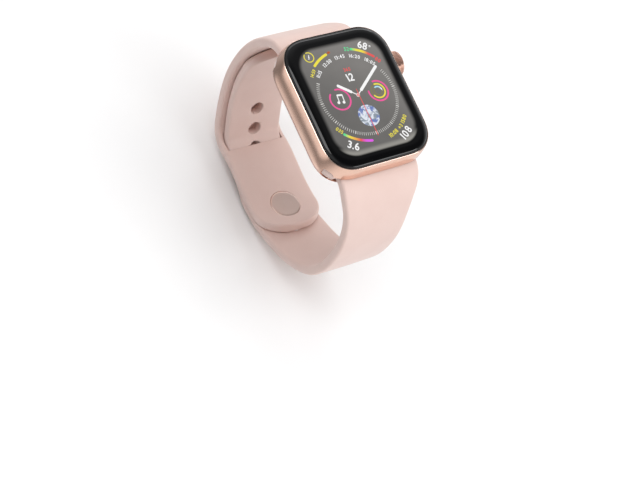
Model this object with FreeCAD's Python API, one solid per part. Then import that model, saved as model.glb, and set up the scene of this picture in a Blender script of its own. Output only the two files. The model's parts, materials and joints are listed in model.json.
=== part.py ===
import FreeCAD, Part
import math
import os

# Rectangular smartwatch with its band closed into a loop.
# +Z points out of the display, +Y to twelve o'clock, +X to the crown.
# The origin is the middle of the domed back, which touches the wrist and the charger.

os.makedirs("parts", exist_ok=True)
V = FreeCAD.Vector
alongX = V(1, 0, 0)
alongY = V(0, 1, 0)

# ---- driving dimensions, mm ----
caseHalfX = 17.0            # half of the 34 mm case width, at its widest level
caseHalfY = 20.0            # half of the 40 mm case length
watchHeight = 10.7          # back dome to crystal top
caseCorner = 9.5            # corner radius in plan at the widest level
caseBottom = 1.3            # lower edge of the aluminium shell
caseTop = 9.75              # upper rim of the shell
beltLevel = 5.0             # level at which the side wall is widest
lowerInset = 1.6            # how far the wall draws in, down to caseBottom
upperBulge = 2.7            # half axis of the ellipse that the upper wall follows
upperSpan = 7.45            # its other half axis

crystalHalfX = 16.05
crystalHalfY = 19.05
crystalCorner = 8.55
crystalBottom = 9.0
crystalEdge = 1.4           # rounding of the glass towards the rim
rimGap = 0.1                # glass to rim

ledgeLevel = 8.6            # seat of the crystal gasket
ledgeHalfX = 14.6
ledgeHalfY = 17.6
cavityHalfX = 14.9
cavityHalfY = 14.6
cavityCorner = 5.5
cavityFloor = 3.0
cavityCeiling = 6.7
backHalfX = 13.0            # ceramic back cover
backHalfY = 14.3
backCorner = 6.5
backThick = 0.8
backSeat = 1.0              # width of the ledge that the back cover sits on
domeReach = 12.9            # radius at which the back dome meets the flat
sensorRadius = 10.0         # crystal over the heart sensor

lugHalf = 12.3              # half width of the strap where it leaves its lug
lugEndInset = 0.45          # lug ends stand this far inside the widest outline of the case
lugInner = 15.3             # lug bar, distance from the middle of the case
lugOuter = 17.9
lugLow = 2.3
lugHigh = 6.1
lugRound = 1.0
lugGap = 0.06               # sliding fit of a lug in its channel
mouthBelow = 0.35           # room under the neck, where the strap bends down
neckThick = 2.8
neckLevel = 3.6             # middle of the strap where it leaves the case

strapThick = 2.8
upperHalf = 10.6            # half width of the strap that carries the pin
lowerHalf = 10.0            # half width of the strap with the holes
tailHalf = 9.0              # its tail, which goes through the slot
slotHalf = 9.3
layerGap = 0.15             # between two layers of band
holeCount = 7
holePitch = 7.2
holeRadius = 2.1
usedHole = 1                # the pin sits in the second hole

pinDiscRadius = 4.5
pinDiscThick = 1.0
pinDiscProud = 0.2
pinRadius = 1.6
pinHeadRadius = 2.0

crownY = 7.95
crownZ = 5.3
crownRadius = 3.65
crownFace = 16.9            # inner face of the knob
crownEnd = 19.9
crownRecess = 16.4          # floor of the recess behind the knob
shaftRadius = 0.95
shaftGap = 0.05
shaftEnd = 10.8
bushRadius = 1.9
crownTravel = 0.35

hapticTravel = 0.4

buttonY = -7.9
buttonZ = 5.3
buttonHalfY = 5.2
buttonHalfZ = 1.35
stemHalfY = 2.2
stemHalfZ = 0.8
buttonGap = 0.06
buttonTravel = 0.3

releaseY = 16.1             # band release buttons on the underside
releaseHalfX = 2.3
releaseHalfY = 0.8
releaseThick = 0.55
releaseTravel = 0.45
nubHalfX = 1.6
nubHalfY = 0.65
nubTop = 3.25
pocketTop = 4.6


# ---- shared shapes ----
def outline(halfX, halfY, radius, level):
    """Closed rounded rectangle at one level."""
    spanX = halfX - radius
    spanY = halfY - radius
    corners = ((spanX, spanY, 0), (-spanX, spanY, 90), (-spanX, -spanY, 180), (spanX, -spanY, 270))
    arcs = []
    for centreX, centreY, turn in corners:
        points = []
        for step in (0, 45, 90):
            angle = math.radians(turn + step)
            points.append(V(centreX + radius * math.cos(angle), centreY + radius * math.sin(angle), level))
        arcs.append(points)
    edges = []
    for index, points in enumerate(arcs):
        edges.append(Part.Arc(points[0], points[1], points[2]).toShape())
        edges.append(Part.makeLine(points[2], arcs[(index + 1) % 4][0]))
    return Part.Wire(edges)


def slab(halfX, halfY, radius, low, high):
    """Upright plate with rounded corners."""
    return Part.Face(outline(halfX, halfY, radius, low)).extrude(V(0, 0, high - low))


def ring(outerX, outerY, outerRadius, wall, low, high):
    """Rounded rectangular frame."""
    inner = slab(outerX - wall, outerY - wall, outerRadius - wall, low - 1, high + 1)
    return slab(outerX, outerY, outerRadius, low, high).cut(inner)


def block(lowX, highX, lowY, highY, lowZ, highZ, rounding=0.0):
    """Box between two corners, with its upright edges rounded."""
    shape = Part.makeBox(highX - lowX, highY - lowY, highZ - lowZ, V(lowX, lowY, lowZ))
    if rounding > 0:
        upright = [edge for edge in shape.Edges if abs(edge.BoundBox.ZLength - (highZ - lowZ)) < 1e-6]
        shape = shape.makeFillet(rounding, upright)
    return shape


def pillAlongX(lowX, highX, centreY, centreZ, halfY, halfZ):
    """Bar along X whose section is a pill lying along Y."""
    flat = slab(halfY, halfZ, halfZ * 0.98, lowX, highX)
    flat.rotate(V(0, 0, 0), V(1, 1, 1), 120)      # Z to X, X to Y, Y to Z
    flat.translate(V(0, centreY, centreZ))
    return flat


def rodX(radius, lowX, highX, centreY, centreZ):
    """Round bar along X."""
    return Part.makeCylinder(radius, highX - lowX, V(lowX, centreY, centreZ), alongX)


def wallInset(level):
    """How far the side wall stands inside its widest outline, at a level."""
    if level < beltLevel:
        ratio = (beltLevel - level) / (beltLevel - caseBottom)
        return lowerInset * (1 - math.sqrt(max(0.0, 1 - ratio * ratio)))
    ratio = (level - beltLevel) / upperSpan
    return upperBulge * (1 - math.sqrt(1 - ratio * ratio))


def barrel():
    """Solid with the bulging outer surface of the case."""
    levels = (caseBottom, 1.5, 2.0, 2.9, 4.2, beltLevel, 7.2, 8.6, caseTop)
    sections = []
    for level in levels:
        inset = wallInset(level)
        sections.append(outline(caseHalfX - inset, caseHalfY - inset, caseCorner - inset, level))
    return Part.makeLoft(sections, True, False)


def mirrorY(shape):
    """The same piece at the other end of the case."""
    return shape.mirror(V(0, 0, 0), alongY)


# ---- case ----
def lugBar(extra, halfLength):
    """Bar of a band lug; extra is the clearance all round."""
    low = lugLow - extra
    high = lugHigh + extra
    near = lugInner - extra
    far = lugOuter + extra
    bar = Part.makeBox(2 * halfLength, far - near, high - low, V(-halfLength, near, low))
    longEdges = [edge for edge in bar.Edges if abs(edge.BoundBox.XLength - 2 * halfLength) < 1e-6]
    return bar.makeFillet(lugRound, longEdges)


def lugPiece():
    """Lug whose ends follow the rounded corners of the case."""
    plan = slab(caseHalfX - lugEndInset, caseHalfY - lugEndInset, caseCorner - lugEndInset,
                lugLow - 1, lugHigh + 1)
    return lugBar(0.0, caseHalfX).common(plan)


def lugChannel():
    """Channel across the case for a lug, with its mouth and the groove for the latch nub."""
    reach = caseHalfX + 1
    lowSide = neckLevel - neckThick / 2 - mouthBelow
    highSide = neckLevel + neckThick / 2 + lugGap
    mouth = Part.makeBox(2 * reach, 4.0, highSide - lowSide, V(-reach, lugOuter - 0.5, lowSide))
    grooveHalf = nubHalfY + 0.15
    floor = caseBottom + releaseThick - 0.02
    groove = Part.makeBox(2 * reach, 2 * grooveHalf, 1.0, V(-reach, releaseY - grooveHalf, floor))
    return lugBar(lugGap, reach).fuse([mouth, groove])


def caseShell():
    shape = barrel()
    shape = shape.cut(slab(crystalHalfX + rimGap, crystalHalfY + rimGap, crystalCorner + rimGap,
                           ledgeLevel, watchHeight))
    shape = shape.cut(slab(ledgeHalfX, ledgeHalfY, 7.1, cavityCeiling, ledgeLevel + 0.1))
    shape = shape.cut(slab(cavityHalfX, cavityHalfY, cavityCorner, cavityFloor, cavityCeiling + 0.1))
    shape = shape.cut(slab(backHalfX - backSeat, backHalfY - backSeat, backCorner - backSeat,
                           caseBottom - 1, cavityFloor + 0.1))
    shape = shape.cut(slab(backHalfX + 0.06, backHalfY + 0.06, backCorner, caseBottom - 1,
                           caseBottom + backThick + 0.3))
    channel = lugChannel()
    release = slab(releaseHalfX + 0.06, releaseHalfY + 0.06, releaseHalfY, caseBottom - 1, lugLow)
    release.translate(V(0, releaseY, 0))
    shape = shape.cut(channel).cut(mirrorY(channel)).cut(release).cut(mirrorY(release))
    shape = shape.cut(rodX(crownRadius + 0.25, crownRecess, caseHalfX + 1, crownY, crownZ))
    shape = shape.cut(rodX(bushRadius, cavityHalfX - 2, caseHalfX, crownY, crownZ))
    shape = shape.cut(pillAlongX(15.75, caseHalfX + 1, buttonY, buttonZ,
                                 buttonHalfY + buttonGap, buttonHalfZ + buttonGap))
    shape = shape.cut(pillAlongX(cavityHalfX - 1, caseHalfX, buttonY, buttonZ,
                                 stemHalfY + buttonGap, stemHalfZ + buttonGap))
    shape = shape.cut(speakerVent())
    return shape.removeSplitter()


def speakerVent():
    """Slit in the underside through which the speaker sounds."""
    slit = slab(0.4, 4.5, 0.39, caseBottom - 1, cavityFloor + 0.1)
    slit.translate(V(-13.7, 0, 0))
    return slit


def frontCrystal():
    glass = slab(crystalHalfX, crystalHalfY, crystalCorner, crystalBottom, watchHeight)
    topEdges = [edge for edge in glass.Edges if edge.BoundBox.ZMin > watchHeight - 1e-4]
    return glass.makeFillet(crystalEdge, topEdges)


def crystalGasket():
    return ring(crystalHalfX - 0.1, crystalHalfY - 0.1, crystalCorner - 0.1, 1.3, ledgeLevel, crystalBottom)


def displayPanel():
    return slab(13.9, 16.9, 6.6, 8.6, crystalBottom)


def displayShield():
    return slab(13.5, 16.5, 6.2, 8.32, 8.6)


def displayFlex():
    upright = block(-3.2, 3.2, -17.3, -17.1, 7.1, 8.32)
    foot = block(-3.2, 3.2, -17.1, -12.9, 7.1, 7.3)
    return upright.fuse(foot).removeSplitter()


def innerFrame():
    """Frame that carries the logic board and the crown and button modules."""
    frame = ring(ledgeHalfX - 0.1, ledgeHalfY - 0.1, 7.0, 1.1, cavityCeiling, 8.0)
    bars = [block(-13.6, 13.6, side - 0.6, side + 0.6, cavityCeiling, 7.0) for side in (-8.0, 4.4, 12.6)]
    notch = block(-3.6, 3.6, -17.6, -16.0, 7.0, 9.0)
    bushNotch = rodX(bushRadius + 0.1, 12.8, 15.0, crownY, crownZ)
    return frame.fuse(bars).cut(notch).cut(bushNotch).removeSplitter()


def logicBoard():
    board = block(-12.6, 12.6, -12.6, 12.9, 7.0, 7.5, 3.0)
    processor = block(-7.0, 6.0, -4.0, 9.0, 7.5, 8.2, 0.5)
    radio = block(-11.0, -8.5, -9.0, 6.0, 7.5, 8.0, 0.3)
    memory = block(7.5, 11.5, -9.0, 2.0, 7.5, 8.0, 0.3)
    connector = block(-3.2, 3.2, -12.5, -10.9, 7.5, 8.1, 0.2)
    return board.fuse([processor, radio, memory, connector]).cut(block(-3.4, 3.4, -13, -12.5, 6, 9))


def battery():
    return block(-6.6, 9.4, -13.9, 3.2, 3.15, 6.5, 1.2)


def hapticHousing():
    outer = block(-14.0, -7.2, -11.0, 6.0, 3.2, 6.4, 1.0)
    return outer.cut(block(-13.6, -7.6, -10.6, 5.6, 3.6, 6.0, 0.7))


def hapticMass():
    return block(-13.4, -7.8, -7.6, 2.6, 3.8, 5.8, 0.6)


def hapticSpring():
    """Folded leaf on the moving mass; it stops short of the housing by the travel."""
    leaves = []
    for index in range(3):
        near = 2.62 + index * 1.0
        leaves.append(block(-12.6, -8.6, near, near + 0.2, 4.0, 5.6))
        if index < 2:
            side = -12.6 if index % 2 else -8.8
            leaves.append(block(side, side + 0.2, near, near + 1.2, 4.0, 5.6))
    leaves.append(block(-10.9, -10.3, 4.8, 5.6 - hapticTravel - 0.05, 4.0, 5.6))
    return leaves[0].fuse(leaves[1:]).removeSplitter()


def hapticSpringFar():
    """The same leaf at the other end of the mass."""
    return hapticSpring().mirror(V(0, -2.5, 0), alongY)


def speakerModule():
    body = block(-13.9, -3.2, 6.6, 13.0, 3.2, 6.4, 1.2)
    cone = Part.makeCone(1.6, 2.4, 0.8, V(-8.5, 9.8, 5.61))
    return body.cut(cone)


def microphone():
    can = block(-1.0, 2.4, 10.6, 13.6, 3.2, 4.6, 0.4)
    return can.cut(Part.makeCylinder(0.4, 0.5, V(0.7, 12.1, 4.2)))


# ---- back ----
def domeSphere():
    """Ball whose lowest cap is the outer surface of the back."""
    radius = (domeReach ** 2 + caseBottom ** 2) / (2 * caseBottom)
    return Part.makeSphere(radius, V(0, 0, radius))


def domeBelow(radius):
    """Cap of the dome below the flat of the back, out to a radius."""
    disc = Part.makeCylinder(radius, caseBottom + 0.2)
    return disc.common(domeSphere())


def backCover():
    plate = slab(backHalfX, backHalfY, backCorner, caseBottom, caseBottom + backThick)
    opening = Part.makeCylinder(sensorRadius + 0.05, 4.0, V(0, 0, -1))
    return plate.fuse(domeBelow(domeReach)).cut(opening).removeSplitter()


def backGasket():
    return ring(backHalfX, backHalfY, backCorner, 1.0, caseBottom + backThick, caseBottom + backThick + 0.3)


def sensorCrystal():
    plug = Part.makeCylinder(sensorRadius, 1.75)
    return plug.common(domeSphere())


def sensorBoard():
    board = Part.makeCylinder(4.6, 0.35, V(0, 0, 1.75))
    parts = []
    for index in range(4):
        angle = math.radians(45 + 90 * index)
        parts.append(Part.makeCylinder(0.7, 0.3, V(2.9 * math.cos(angle), 2.9 * math.sin(angle), 2.1)))
    return board.fuse(parts)


def chargingCoil():
    return Part.makeCylinder(9.6, 0.7, V(0, 0, 1.8)).cut(Part.makeCylinder(5.6, 2.0, V(0, 0, 1)))


def alignmentMagnet():
    return Part.makeCylinder(1.8, 0.95, V(0, 0, 2.15))


# ---- crown ----
def crownKnob():
    length = crownEnd - crownFace
    knob = rodX(crownRadius, crownFace, crownEnd, crownY, crownZ)
    rims = [edge for edge in knob.Edges if edge.BoundBox.XLength < 1e-6]
    knob = knob.makeFillet(0.45, rims)
    for index in range(36):
        turn = math.radians(10 * index)
        groove = rodX(0.16, crownFace + 0.5, crownEnd - 0.75,
                      crownY + (crownRadius + 0.06) * math.cos(turn),
                      crownZ + (crownRadius + 0.06) * math.sin(turn))
        knob = knob.cut(groove)
    return knob.cut(rodX(shaftRadius, crownFace - 1, crownFace + 0.5 * length, crownY, crownZ))


def crownShaft():
    shaft = rodX(shaftRadius, shaftEnd, crownFace + 0.5 * (crownEnd - crownFace), crownY, crownZ)
    flange = rodX(1.5, shaftEnd, shaftEnd + 0.5, crownY, crownZ)
    return shaft.fuse(flange).removeSplitter()


def crownBush():
    sleeve = rodX(bushRadius, 13.0, crownRecess - 0.05, crownY, crownZ)
    flange = block(13.4, 14.5, crownY - 2.7, crownY + 2.7, cavityFloor + 0.05, cavityCeiling - 0.05)
    bore = rodX(shaftRadius + shaftGap, 12.0, 18.0, crownY, crownZ)
    groove = rodX(1.45, 15.2, 15.8, crownY, crownZ)
    return sleeve.fuse(flange).cut(bore).cut(groove)


def crownSeal():
    return Part.makeTorus(1.21, 0.22, V(15.5, crownY, crownZ), alongX)


def crownSensor():
    base = block(11.6, 12.9, crownY - 1.8, crownY + 1.8, 3.2, 4.1, 0.3)
    return base.fuse(block(12.0, 12.7, crownY - 0.5, crownY + 0.5, 4.1, 4.25))


def crownThrustPad():
    return rodX(1.2, 10.35, shaftEnd - 0.05, crownY, crownZ)


def crownSwitch():
    body = block(8.6, 9.7, crownY - 1.6, crownY + 1.6, 4.0, 6.4, 0.2)
    dome = rodX(0.7, 9.7, 9.95, crownY, crownZ)
    return body.fuse(dome).removeSplitter()


# ---- side button ----
def sideButton():
    """Cap flush with the bulge of the case, on a short stem."""
    cap = pillAlongX(16.12, caseHalfX + 1, buttonY, buttonZ, buttonHalfY, buttonHalfZ)
    cap = cap.common(barrel())
    stem = pillAlongX(14.2, 16.2, buttonY, buttonZ, stemHalfY, stemHalfZ)
    return cap.fuse(stem).removeSplitter()


def sideButtonClip():
    """Spring clip on the inner end of the stem, which keeps the button in."""
    plate = pillAlongX(14.35, 14.65, buttonY, buttonZ, stemHalfY + 0.5, stemHalfZ + 0.4)
    return plate.cut(pillAlongX(14.0, 15.0, buttonY, buttonZ, stemHalfY, stemHalfZ))


def sideButtonSwitch():
    body = block(12.3, 13.5, buttonY - 2.0, buttonY + 2.0, 4.2, 6.4, 0.2)
    dome = rodX(0.6, 13.5, 13.8, buttonY, buttonZ)
    return body.fuse(dome).removeSplitter()


def moduleScrews():
    """Two small screws that hold the speaker and the button bracket."""
    screws = []
    for centreX, centreY in ((-1.9, 8.2), (11.2, 1.0)):
        head = Part.makeCylinder(0.85, 0.5, V(centreX, centreY, 4.7))
        shank = Part.makeCylinder(0.5, 1.6, V(centreX, centreY, 3.1))
        drive = Part.makeBox(1.2, 0.22, 0.3, V(centreX - 0.6, centreY - 0.11, 5.0))
        screws.append(head.fuse(shank).cut(drive))
    return Part.makeCompound(screws)


# ---- band release ----
def releaseButton():
    top = caseBottom + releaseThick - 0.05
    button = slab(releaseHalfX, releaseHalfY, releaseHalfY * 0.98, caseBottom, top)
    button.translate(V(0, releaseY, 0))
    return button


def latchNub():
    nub = slab(nubHalfX, nubHalfY, nubHalfY * 0.98, caseBottom + releaseThick, nubTop)
    nub.translate(V(0, releaseY, 0))
    return nub


def latchSpring():
    """Flat wire spring above the nub, two turns of a wave."""
    wave = []
    level = nubTop + 0.02
    pitch = (pocketTop - level) / 5
    for index in range(5):
        low = level + index * pitch
        if index % 2 == 0:
            wave.append(block(-1.1, 1.1, releaseY - 0.35, releaseY + 0.35, low, low + pitch))
        else:
            side = -1.1 if index % 4 == 1 else 0.6
            wave.append(block(side, side + 0.5, releaseY - 0.35, releaseY + 0.35, low, low + pitch))
    return wave[0].fuse(wave[1:]).removeSplitter()


def nubPocket():
    pocket = slab(nubHalfX + 0.08, nubHalfY + 0.08, nubHalfY, lugLow - 1, pocketTop)
    pocket.translate(V(0, releaseY, 0))
    return pocket


def lugInsert():
    """Stiffening bar moulded into the lug, bored for the latch nub."""
    insert = block(-10.0, 10.0, lugInner + 0.05, lugInner + 1.55, 2.9, 5.4)
    return insert.cut(nubPocket())


# ---- band path, as (y, z) points down the middle of each strap ----
upperPath = ((17.6, 3.6), (19.0, 3.58), (20.9, 3.2), (23.2, 1.6), (25.4, -1.3), (27.4, -4.8), (29.1, -8.9),
             (30.4, -13.8), (31.0, -19.5), (30.9, -25.5), (29.8, -32.0), (27.4, -39.2), (24.7, -45.1),
             (21.6, -49.3), (18.0, -50.6), (14.0, -50.0), (9.0, -49.7), (2.0, -49.9), (-4.0, -49.4),
             (-9.5, -47.8), (-14.0, -45.0))
lowerPath = ((-17.6, 3.6), (-19.0, 3.58), (-20.8, 3.1), (-22.9, 1.6), (-25.2, -1.1), (-27.6, -5.0),
             (-29.7, -9.6), (-31.3, -15.0), (-32.0, -21.0), (-31.8, -28.0), (-29.9, -34.6), (-26.0, -40.2),
             (-20.9, -44.9))


class Path:
    """Smooth line in the YZ plane, measured by length."""

    def __init__(self, points):
        self.curve = Part.BSplineCurve()
        self.curve.interpolate([V(0, y, z) for y, z in points])
        self.length = self.curve.length()

    def at(self, distance):
        return self.curve.value(self.curve.parameterAtDistance(distance))

    def heading(self, distance):
        direction = V(*self.curve.tangent(self.curve.parameterAtDistance(distance))[0])
        direction.normalize()
        return direction

    def beside(self, distance, offset):
        """Point to the left of travel, as seen from +X, by an offset."""
        ahead = self.heading(distance)
        return self.at(distance) + V(0, -ahead.z, ahead.y) * offset

    def nearest(self, point):
        parameter = self.curve.parameter(point)
        return self.curve.length(self.curve.FirstParameter, parameter)


def ribbon(path, start, end, halfWidth, spans, extra=0.0):
    """Strap between two distances along a path, as a straight extrusion along X."""
    above = []
    below = []
    for index in range(spans + 1):
        distance = start + (end - start) * index / spans
        blend = min(1.0, distance / 10.0)
        thick = neckThick + (strapThick - neckThick) * blend + extra
        above.append(path.beside(distance, thick / 2))
        below.append(path.beside(distance, -thick / 2))
    upperEdge = Part.BSplineCurve()
    upperEdge.interpolate(above)
    lowerEdge = Part.BSplineCurve()
    lowerEdge.interpolate(below)
    edges = [upperEdge.toShape(), Part.makeLine(above[-1], below[-1]),
             lowerEdge.toShape(), Part.makeLine(below[0], above[0])]
    face = Part.Face(Part.Wire(Part.__sortEdges__(edges)))
    face.translate(V(-halfWidth, 0, 0))
    return face.extrude(V(2 * halfWidth, 0, 0))


def flareCut(halfWidth):
    """Front view of a strap: the width of the lug drawing in to the width of the band."""
    widths = ((lugHalf, 2.6), (lugHalf - 0.5, 0.2), (halfWidth + 0.75, -3.2), (halfWidth + 0.15, -7.5),
              (halfWidth, -12.0))
    side = Part.BSplineCurve()
    side.interpolate([V(x, 0, z) for x, z in widths])
    edges = [Part.makeLine(V(lugHalf, 0, 8), V(lugHalf, 0, 2.6)), side.toShape(),
             Part.makeLine(V(halfWidth, 0, -12), V(halfWidth, 0, -60)),
             Part.makeLine(V(halfWidth, 0, -60), V(0, 0, -60)), Part.makeLine(V(0, 0, -60), V(0, 0, 8)),
             Part.makeLine(V(0, 0, 8), V(lugHalf, 0, 8))]
    half = Part.Face(Part.Wire(edges))
    half.translate(V(0, -40, 0))
    prism = half.extrude(V(0, 80, 0))
    return prism.fuse(prism.mirror(V(0, 0, 0), alongX)).removeSplitter()


upperLine = Path(upperPath)
layerStep = strapThick + layerGap


def lowerRoute():
    """Line of the strap with holes: its own side, then outside the pin strap, through the slot, inside it."""
    route = list(lowerPath)
    for y, offset in ((-13.2, 1.02), (-9.5, 1.0), (-5.5, 1.0), (-1.5, 1.0), (2.5, 1.0), (6.5, 1.0),
                      (11.2, 0.72), (15.7, 0.0), (19.6, -0.7), (22.8, -1.0)):
        distance = upperLine.nearest(V(0, y, -50.0))
        point = upperLine.beside(distance, layerStep * offset)
        route.append((point.y, point.z))
    for level in (-42.0, -36.5, -30.5, -24.5, -18.5, -12.5):
        distance = upperLine.nearest(V(0, 30.0, level))
        point = upperLine.beside(distance, -layerStep)
        route.append((point.y, point.z))
    return route


lowerLine = Path(lowerRoute())
pinAt = upperLine.nearest(V(0, -5.8, -49.4))        # distance of the pin along its strap
pinPoint = upperLine.at(pinAt)
pinAxis = V(0, -upperLine.heading(pinAt).z, upperLine.heading(pinAt).y)   # outwards, away from the wrist
holeAt = lowerLine.nearest(pinPoint + pinAxis * layerStep)


def pinRod(radius, low, high):
    """Round piece on the pin's axis, between two heights above the middle of its strap."""
    return Part.makeCylinder(radius, high - low, pinPoint + pinAxis * low, pinAxis)


def slotTool():
    """Opening in the pin strap, shaped to the tail that goes through it."""
    start = lowerLine.nearest(V(0, 6.0, -53.0))
    end = lowerLine.nearest(V(0, 24.5, -42.0))
    return ribbon(lowerLine, start, end, slotHalf, 16, 0.1)


def roundedTip():
    """What is trimmed off the pin strap's end, leaving a rounded tip in plan."""
    end = upperLine.at(upperLine.length)
    centreY = end.y + upperHalf * 0.8
    keep = Part.makeCylinder(upperHalf, 30, V(0, 0, -60))
    keep = keep.transformGeometry(FreeCAD.Matrix(1, 0, 0, 0, 0, 0.8, 0, centreY, 0, 0, 1, 0, 0, 0, 0, 1))
    beyond = Part.makeBox(40, 30, 20, V(-20, centreY - 30, -60))
    return beyond.cut(keep)


def upperStrap():
    shape = ribbon(upperLine, 0.0, upperLine.length, lugHalf, 44).common(flareCut(upperHalf))
    shape = shape.fuse(lugPiece()).cut(roundedTip()).cut(slotTool())
    shape = shape.cut(pinRod(pinDiscRadius, -strapThick, -strapThick / 2 + pinDiscThick - pinDiscProud))
    shape = shape.cut(pinRod(pinRadius, -strapThick, strapThick))
    return shape.cut(nubPocket()).cut(lugInsert().fuse(nubPocket())).removeSplitter()


def tailPlan():
    """What is trimmed off the strap with holes: its flanks past the pin, and the corners of its tail."""
    flanks = []
    for side in (-1, 1):
        points = [V(side * lowerHalf, -1.0, -60), V(side * tailHalf, 7.0, -60), V(side * tailHalf, 40, -60),
                  V(side * 20, 40, -60), V(side * 20, -1.0, -60), V(side * lowerHalf, -1.0, -60)]
        flanks.append(Part.Face(Part.Wire(Part.makePolygon(points))).extrude(V(0, 0, 80)))
    end = lowerLine.at(lowerLine.length)
    level = end.z - tailHalf * 0.8
    keep = Part.makeCylinder(tailHalf, 30, V(0, 15, level), alongY)
    keep = keep.fuse(Part.makeBox(2 * tailHalf, 30, 40, V(-tailHalf, 15, level - 40)))
    corners = Part.makeBox(40, 20, 30, V(-20, 20, level - 2)).cut(keep)
    return flanks[0].fuse([flanks[1], corners])


def lowerStrap():
    lug = mirrorY(lugPiece())
    near = ribbon(lowerLine, 0.0, lowerLine.length, lugHalf, 60)
    shape = near.common(flareCut(lowerHalf)).cut(tailPlan()).fuse(lug)
    for index in range(holeCount):
        distance = holeAt + (index - usedHole) * holePitch
        ahead = lowerLine.heading(distance)
        across = V(0, -ahead.z, ahead.y)
        foot = lowerLine.at(distance) - across * 2.2
        shape = shape.cut(Part.makeCylinder(holeRadius, 4.4, foot, across))
    insert = mirrorY(lugInsert().fuse(nubPocket()))
    return shape.cut(insert).removeSplitter()


def closurePin():
    """Stud whose head holds the strap with holes."""
    shank = pinRod(pinRadius, -strapThick / 2 + pinDiscThick - pinDiscProud, layerStep + strapThick / 2 - 0.9)
    head = pinRod(pinHeadRadius, layerStep + 0.2, layerStep + strapThick / 2 - 0.1)
    head = head.makeFillet(0.35, [edge for edge in head.Edges if edge.Length > 3])
    return shank.fuse(head).removeSplitter()


def pinDisc():
    """Base of the pin, sunk in the wrist side of its strap."""
    low = -strapThick / 2 - pinDiscProud
    disc = pinRod(pinDiscRadius, low, low + pinDiscThick)
    rim = [edge for edge in disc.Edges if edge.Length > 3]
    return disc.makeFillet(0.3, rim)


pieces = {
    "case_shell": caseShell(),
    "front_crystal": frontCrystal(),
    "crystal_gasket": crystalGasket(),
    "display_panel": displayPanel(),
    "display_shield": displayShield(),
    "display_flex": displayFlex(),
    "inner_frame": innerFrame(),
    "logic_board": logicBoard(),
    "battery": battery(),
    "haptic_housing": hapticHousing(),
    "haptic_mass": hapticMass(),
    "haptic_spring_top": hapticSpring(),
    "haptic_spring_bottom": hapticSpringFar(),
    "speaker_module": speakerModule(),
    "microphone": microphone(),
    "module_screws": moduleScrews(),
    "back_cover": backCover(),
    "back_gasket": backGasket(),
    "sensor_crystal": sensorCrystal(),
    "sensor_board": sensorBoard(),
    "charging_coil": chargingCoil(),
    "alignment_magnet": alignmentMagnet(),
    "crown_knob": crownKnob(),
    "crown_shaft": crownShaft(),
    "crown_bush": crownBush(),
    "crown_seal": crownSeal(),
    "crown_sensor": crownSensor(),
    "crown_thrust_pad": crownThrustPad(),
    "crown_switch": crownSwitch(),
    "side_button": sideButton(),
    "side_button_clip": sideButtonClip(),
    "side_button_switch": sideButtonSwitch(),
    "release_button_upper": releaseButton(),
    "release_button_lower": mirrorY(releaseButton()),
    "latch_nub_upper": latchNub(),
    "latch_nub_lower": mirrorY(latchNub()),
    "latch_spring_upper": latchSpring(),
    "latch_spring_lower": mirrorY(latchSpring()),
    "lug_insert_upper": lugInsert(),
    "lug_insert_lower": mirrorY(lugInsert()),
    "upper_strap": upperStrap(),
    "lower_strap": lowerStrap(),
    "closure_pin": closurePin(),
    "pin_disc": pinDisc(),
}

for name, shape in pieces.items():
    shape.exportStep("parts/" + name + ".step")
    box = shape.BoundBox
    print("%-22s %5s solids %d volume %9.2f  x %.2f %.2f  y %.2f %.2f  z %.2f %.2f" % (
        name, shape.isValid(), len(shape.Solids), shape.Volume,
        box.XMin, box.XMax, box.YMin, box.YMax, box.ZMin, box.ZMax))
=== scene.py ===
import bpy
import bmesh
import json
import math
import numpy as np
from mathutils import Matrix, Vector

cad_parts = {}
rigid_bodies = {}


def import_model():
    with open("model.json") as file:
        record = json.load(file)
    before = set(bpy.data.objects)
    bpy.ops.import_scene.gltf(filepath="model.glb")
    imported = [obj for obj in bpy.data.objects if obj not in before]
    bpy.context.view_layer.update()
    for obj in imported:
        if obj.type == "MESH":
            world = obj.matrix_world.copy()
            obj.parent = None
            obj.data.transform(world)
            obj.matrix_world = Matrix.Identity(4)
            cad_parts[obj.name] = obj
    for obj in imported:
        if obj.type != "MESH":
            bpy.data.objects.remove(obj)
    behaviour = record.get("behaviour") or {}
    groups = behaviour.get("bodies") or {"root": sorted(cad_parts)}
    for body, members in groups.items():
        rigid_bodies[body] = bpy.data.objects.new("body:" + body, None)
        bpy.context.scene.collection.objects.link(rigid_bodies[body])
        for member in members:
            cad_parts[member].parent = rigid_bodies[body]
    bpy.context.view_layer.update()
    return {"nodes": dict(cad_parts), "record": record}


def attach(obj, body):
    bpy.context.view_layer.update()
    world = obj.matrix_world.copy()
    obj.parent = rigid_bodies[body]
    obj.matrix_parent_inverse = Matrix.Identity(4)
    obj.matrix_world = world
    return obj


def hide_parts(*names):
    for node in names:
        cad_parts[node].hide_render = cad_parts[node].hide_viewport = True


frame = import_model()
scene = bpy.context.scene
scene.view_settings.view_transform = "Standard"
mm = 0.001
print("frame loaded:", len(frame["nodes"]), "CAD nodes")


# Small helpers.

def feed(tree, node, values):
    # Links or sets each input, by name or number.
    for key, value in values.items():
        if isinstance(value, bpy.types.NodeSocket):
            tree.links.new(value, node.inputs[key])
        else:
            isColor = node.inputs[key].type == "RGBA"
            node.inputs[key].default_value = (*value[:3], 1.0) if isColor else value
    return node


def addNode(tree, kind, values=None, **settings):
    node = tree.nodes.new(kind)
    for name, value in settings.items():
        setattr(node, name, value)
    return feed(tree, node, values or {})


def mathNode(tree, operation, *values):
    return addNode(tree, "ShaderNodeMath", dict(enumerate(values)), operation=operation).outputs[0]


def mixColor(tree, factor, first, second, blend="MIX"):
    values = {0: factor, 6: first, 7: second}
    return addNode(tree, "ShaderNodeMix", values, data_type="RGBA", blend_type=blend).outputs[2]


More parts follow.
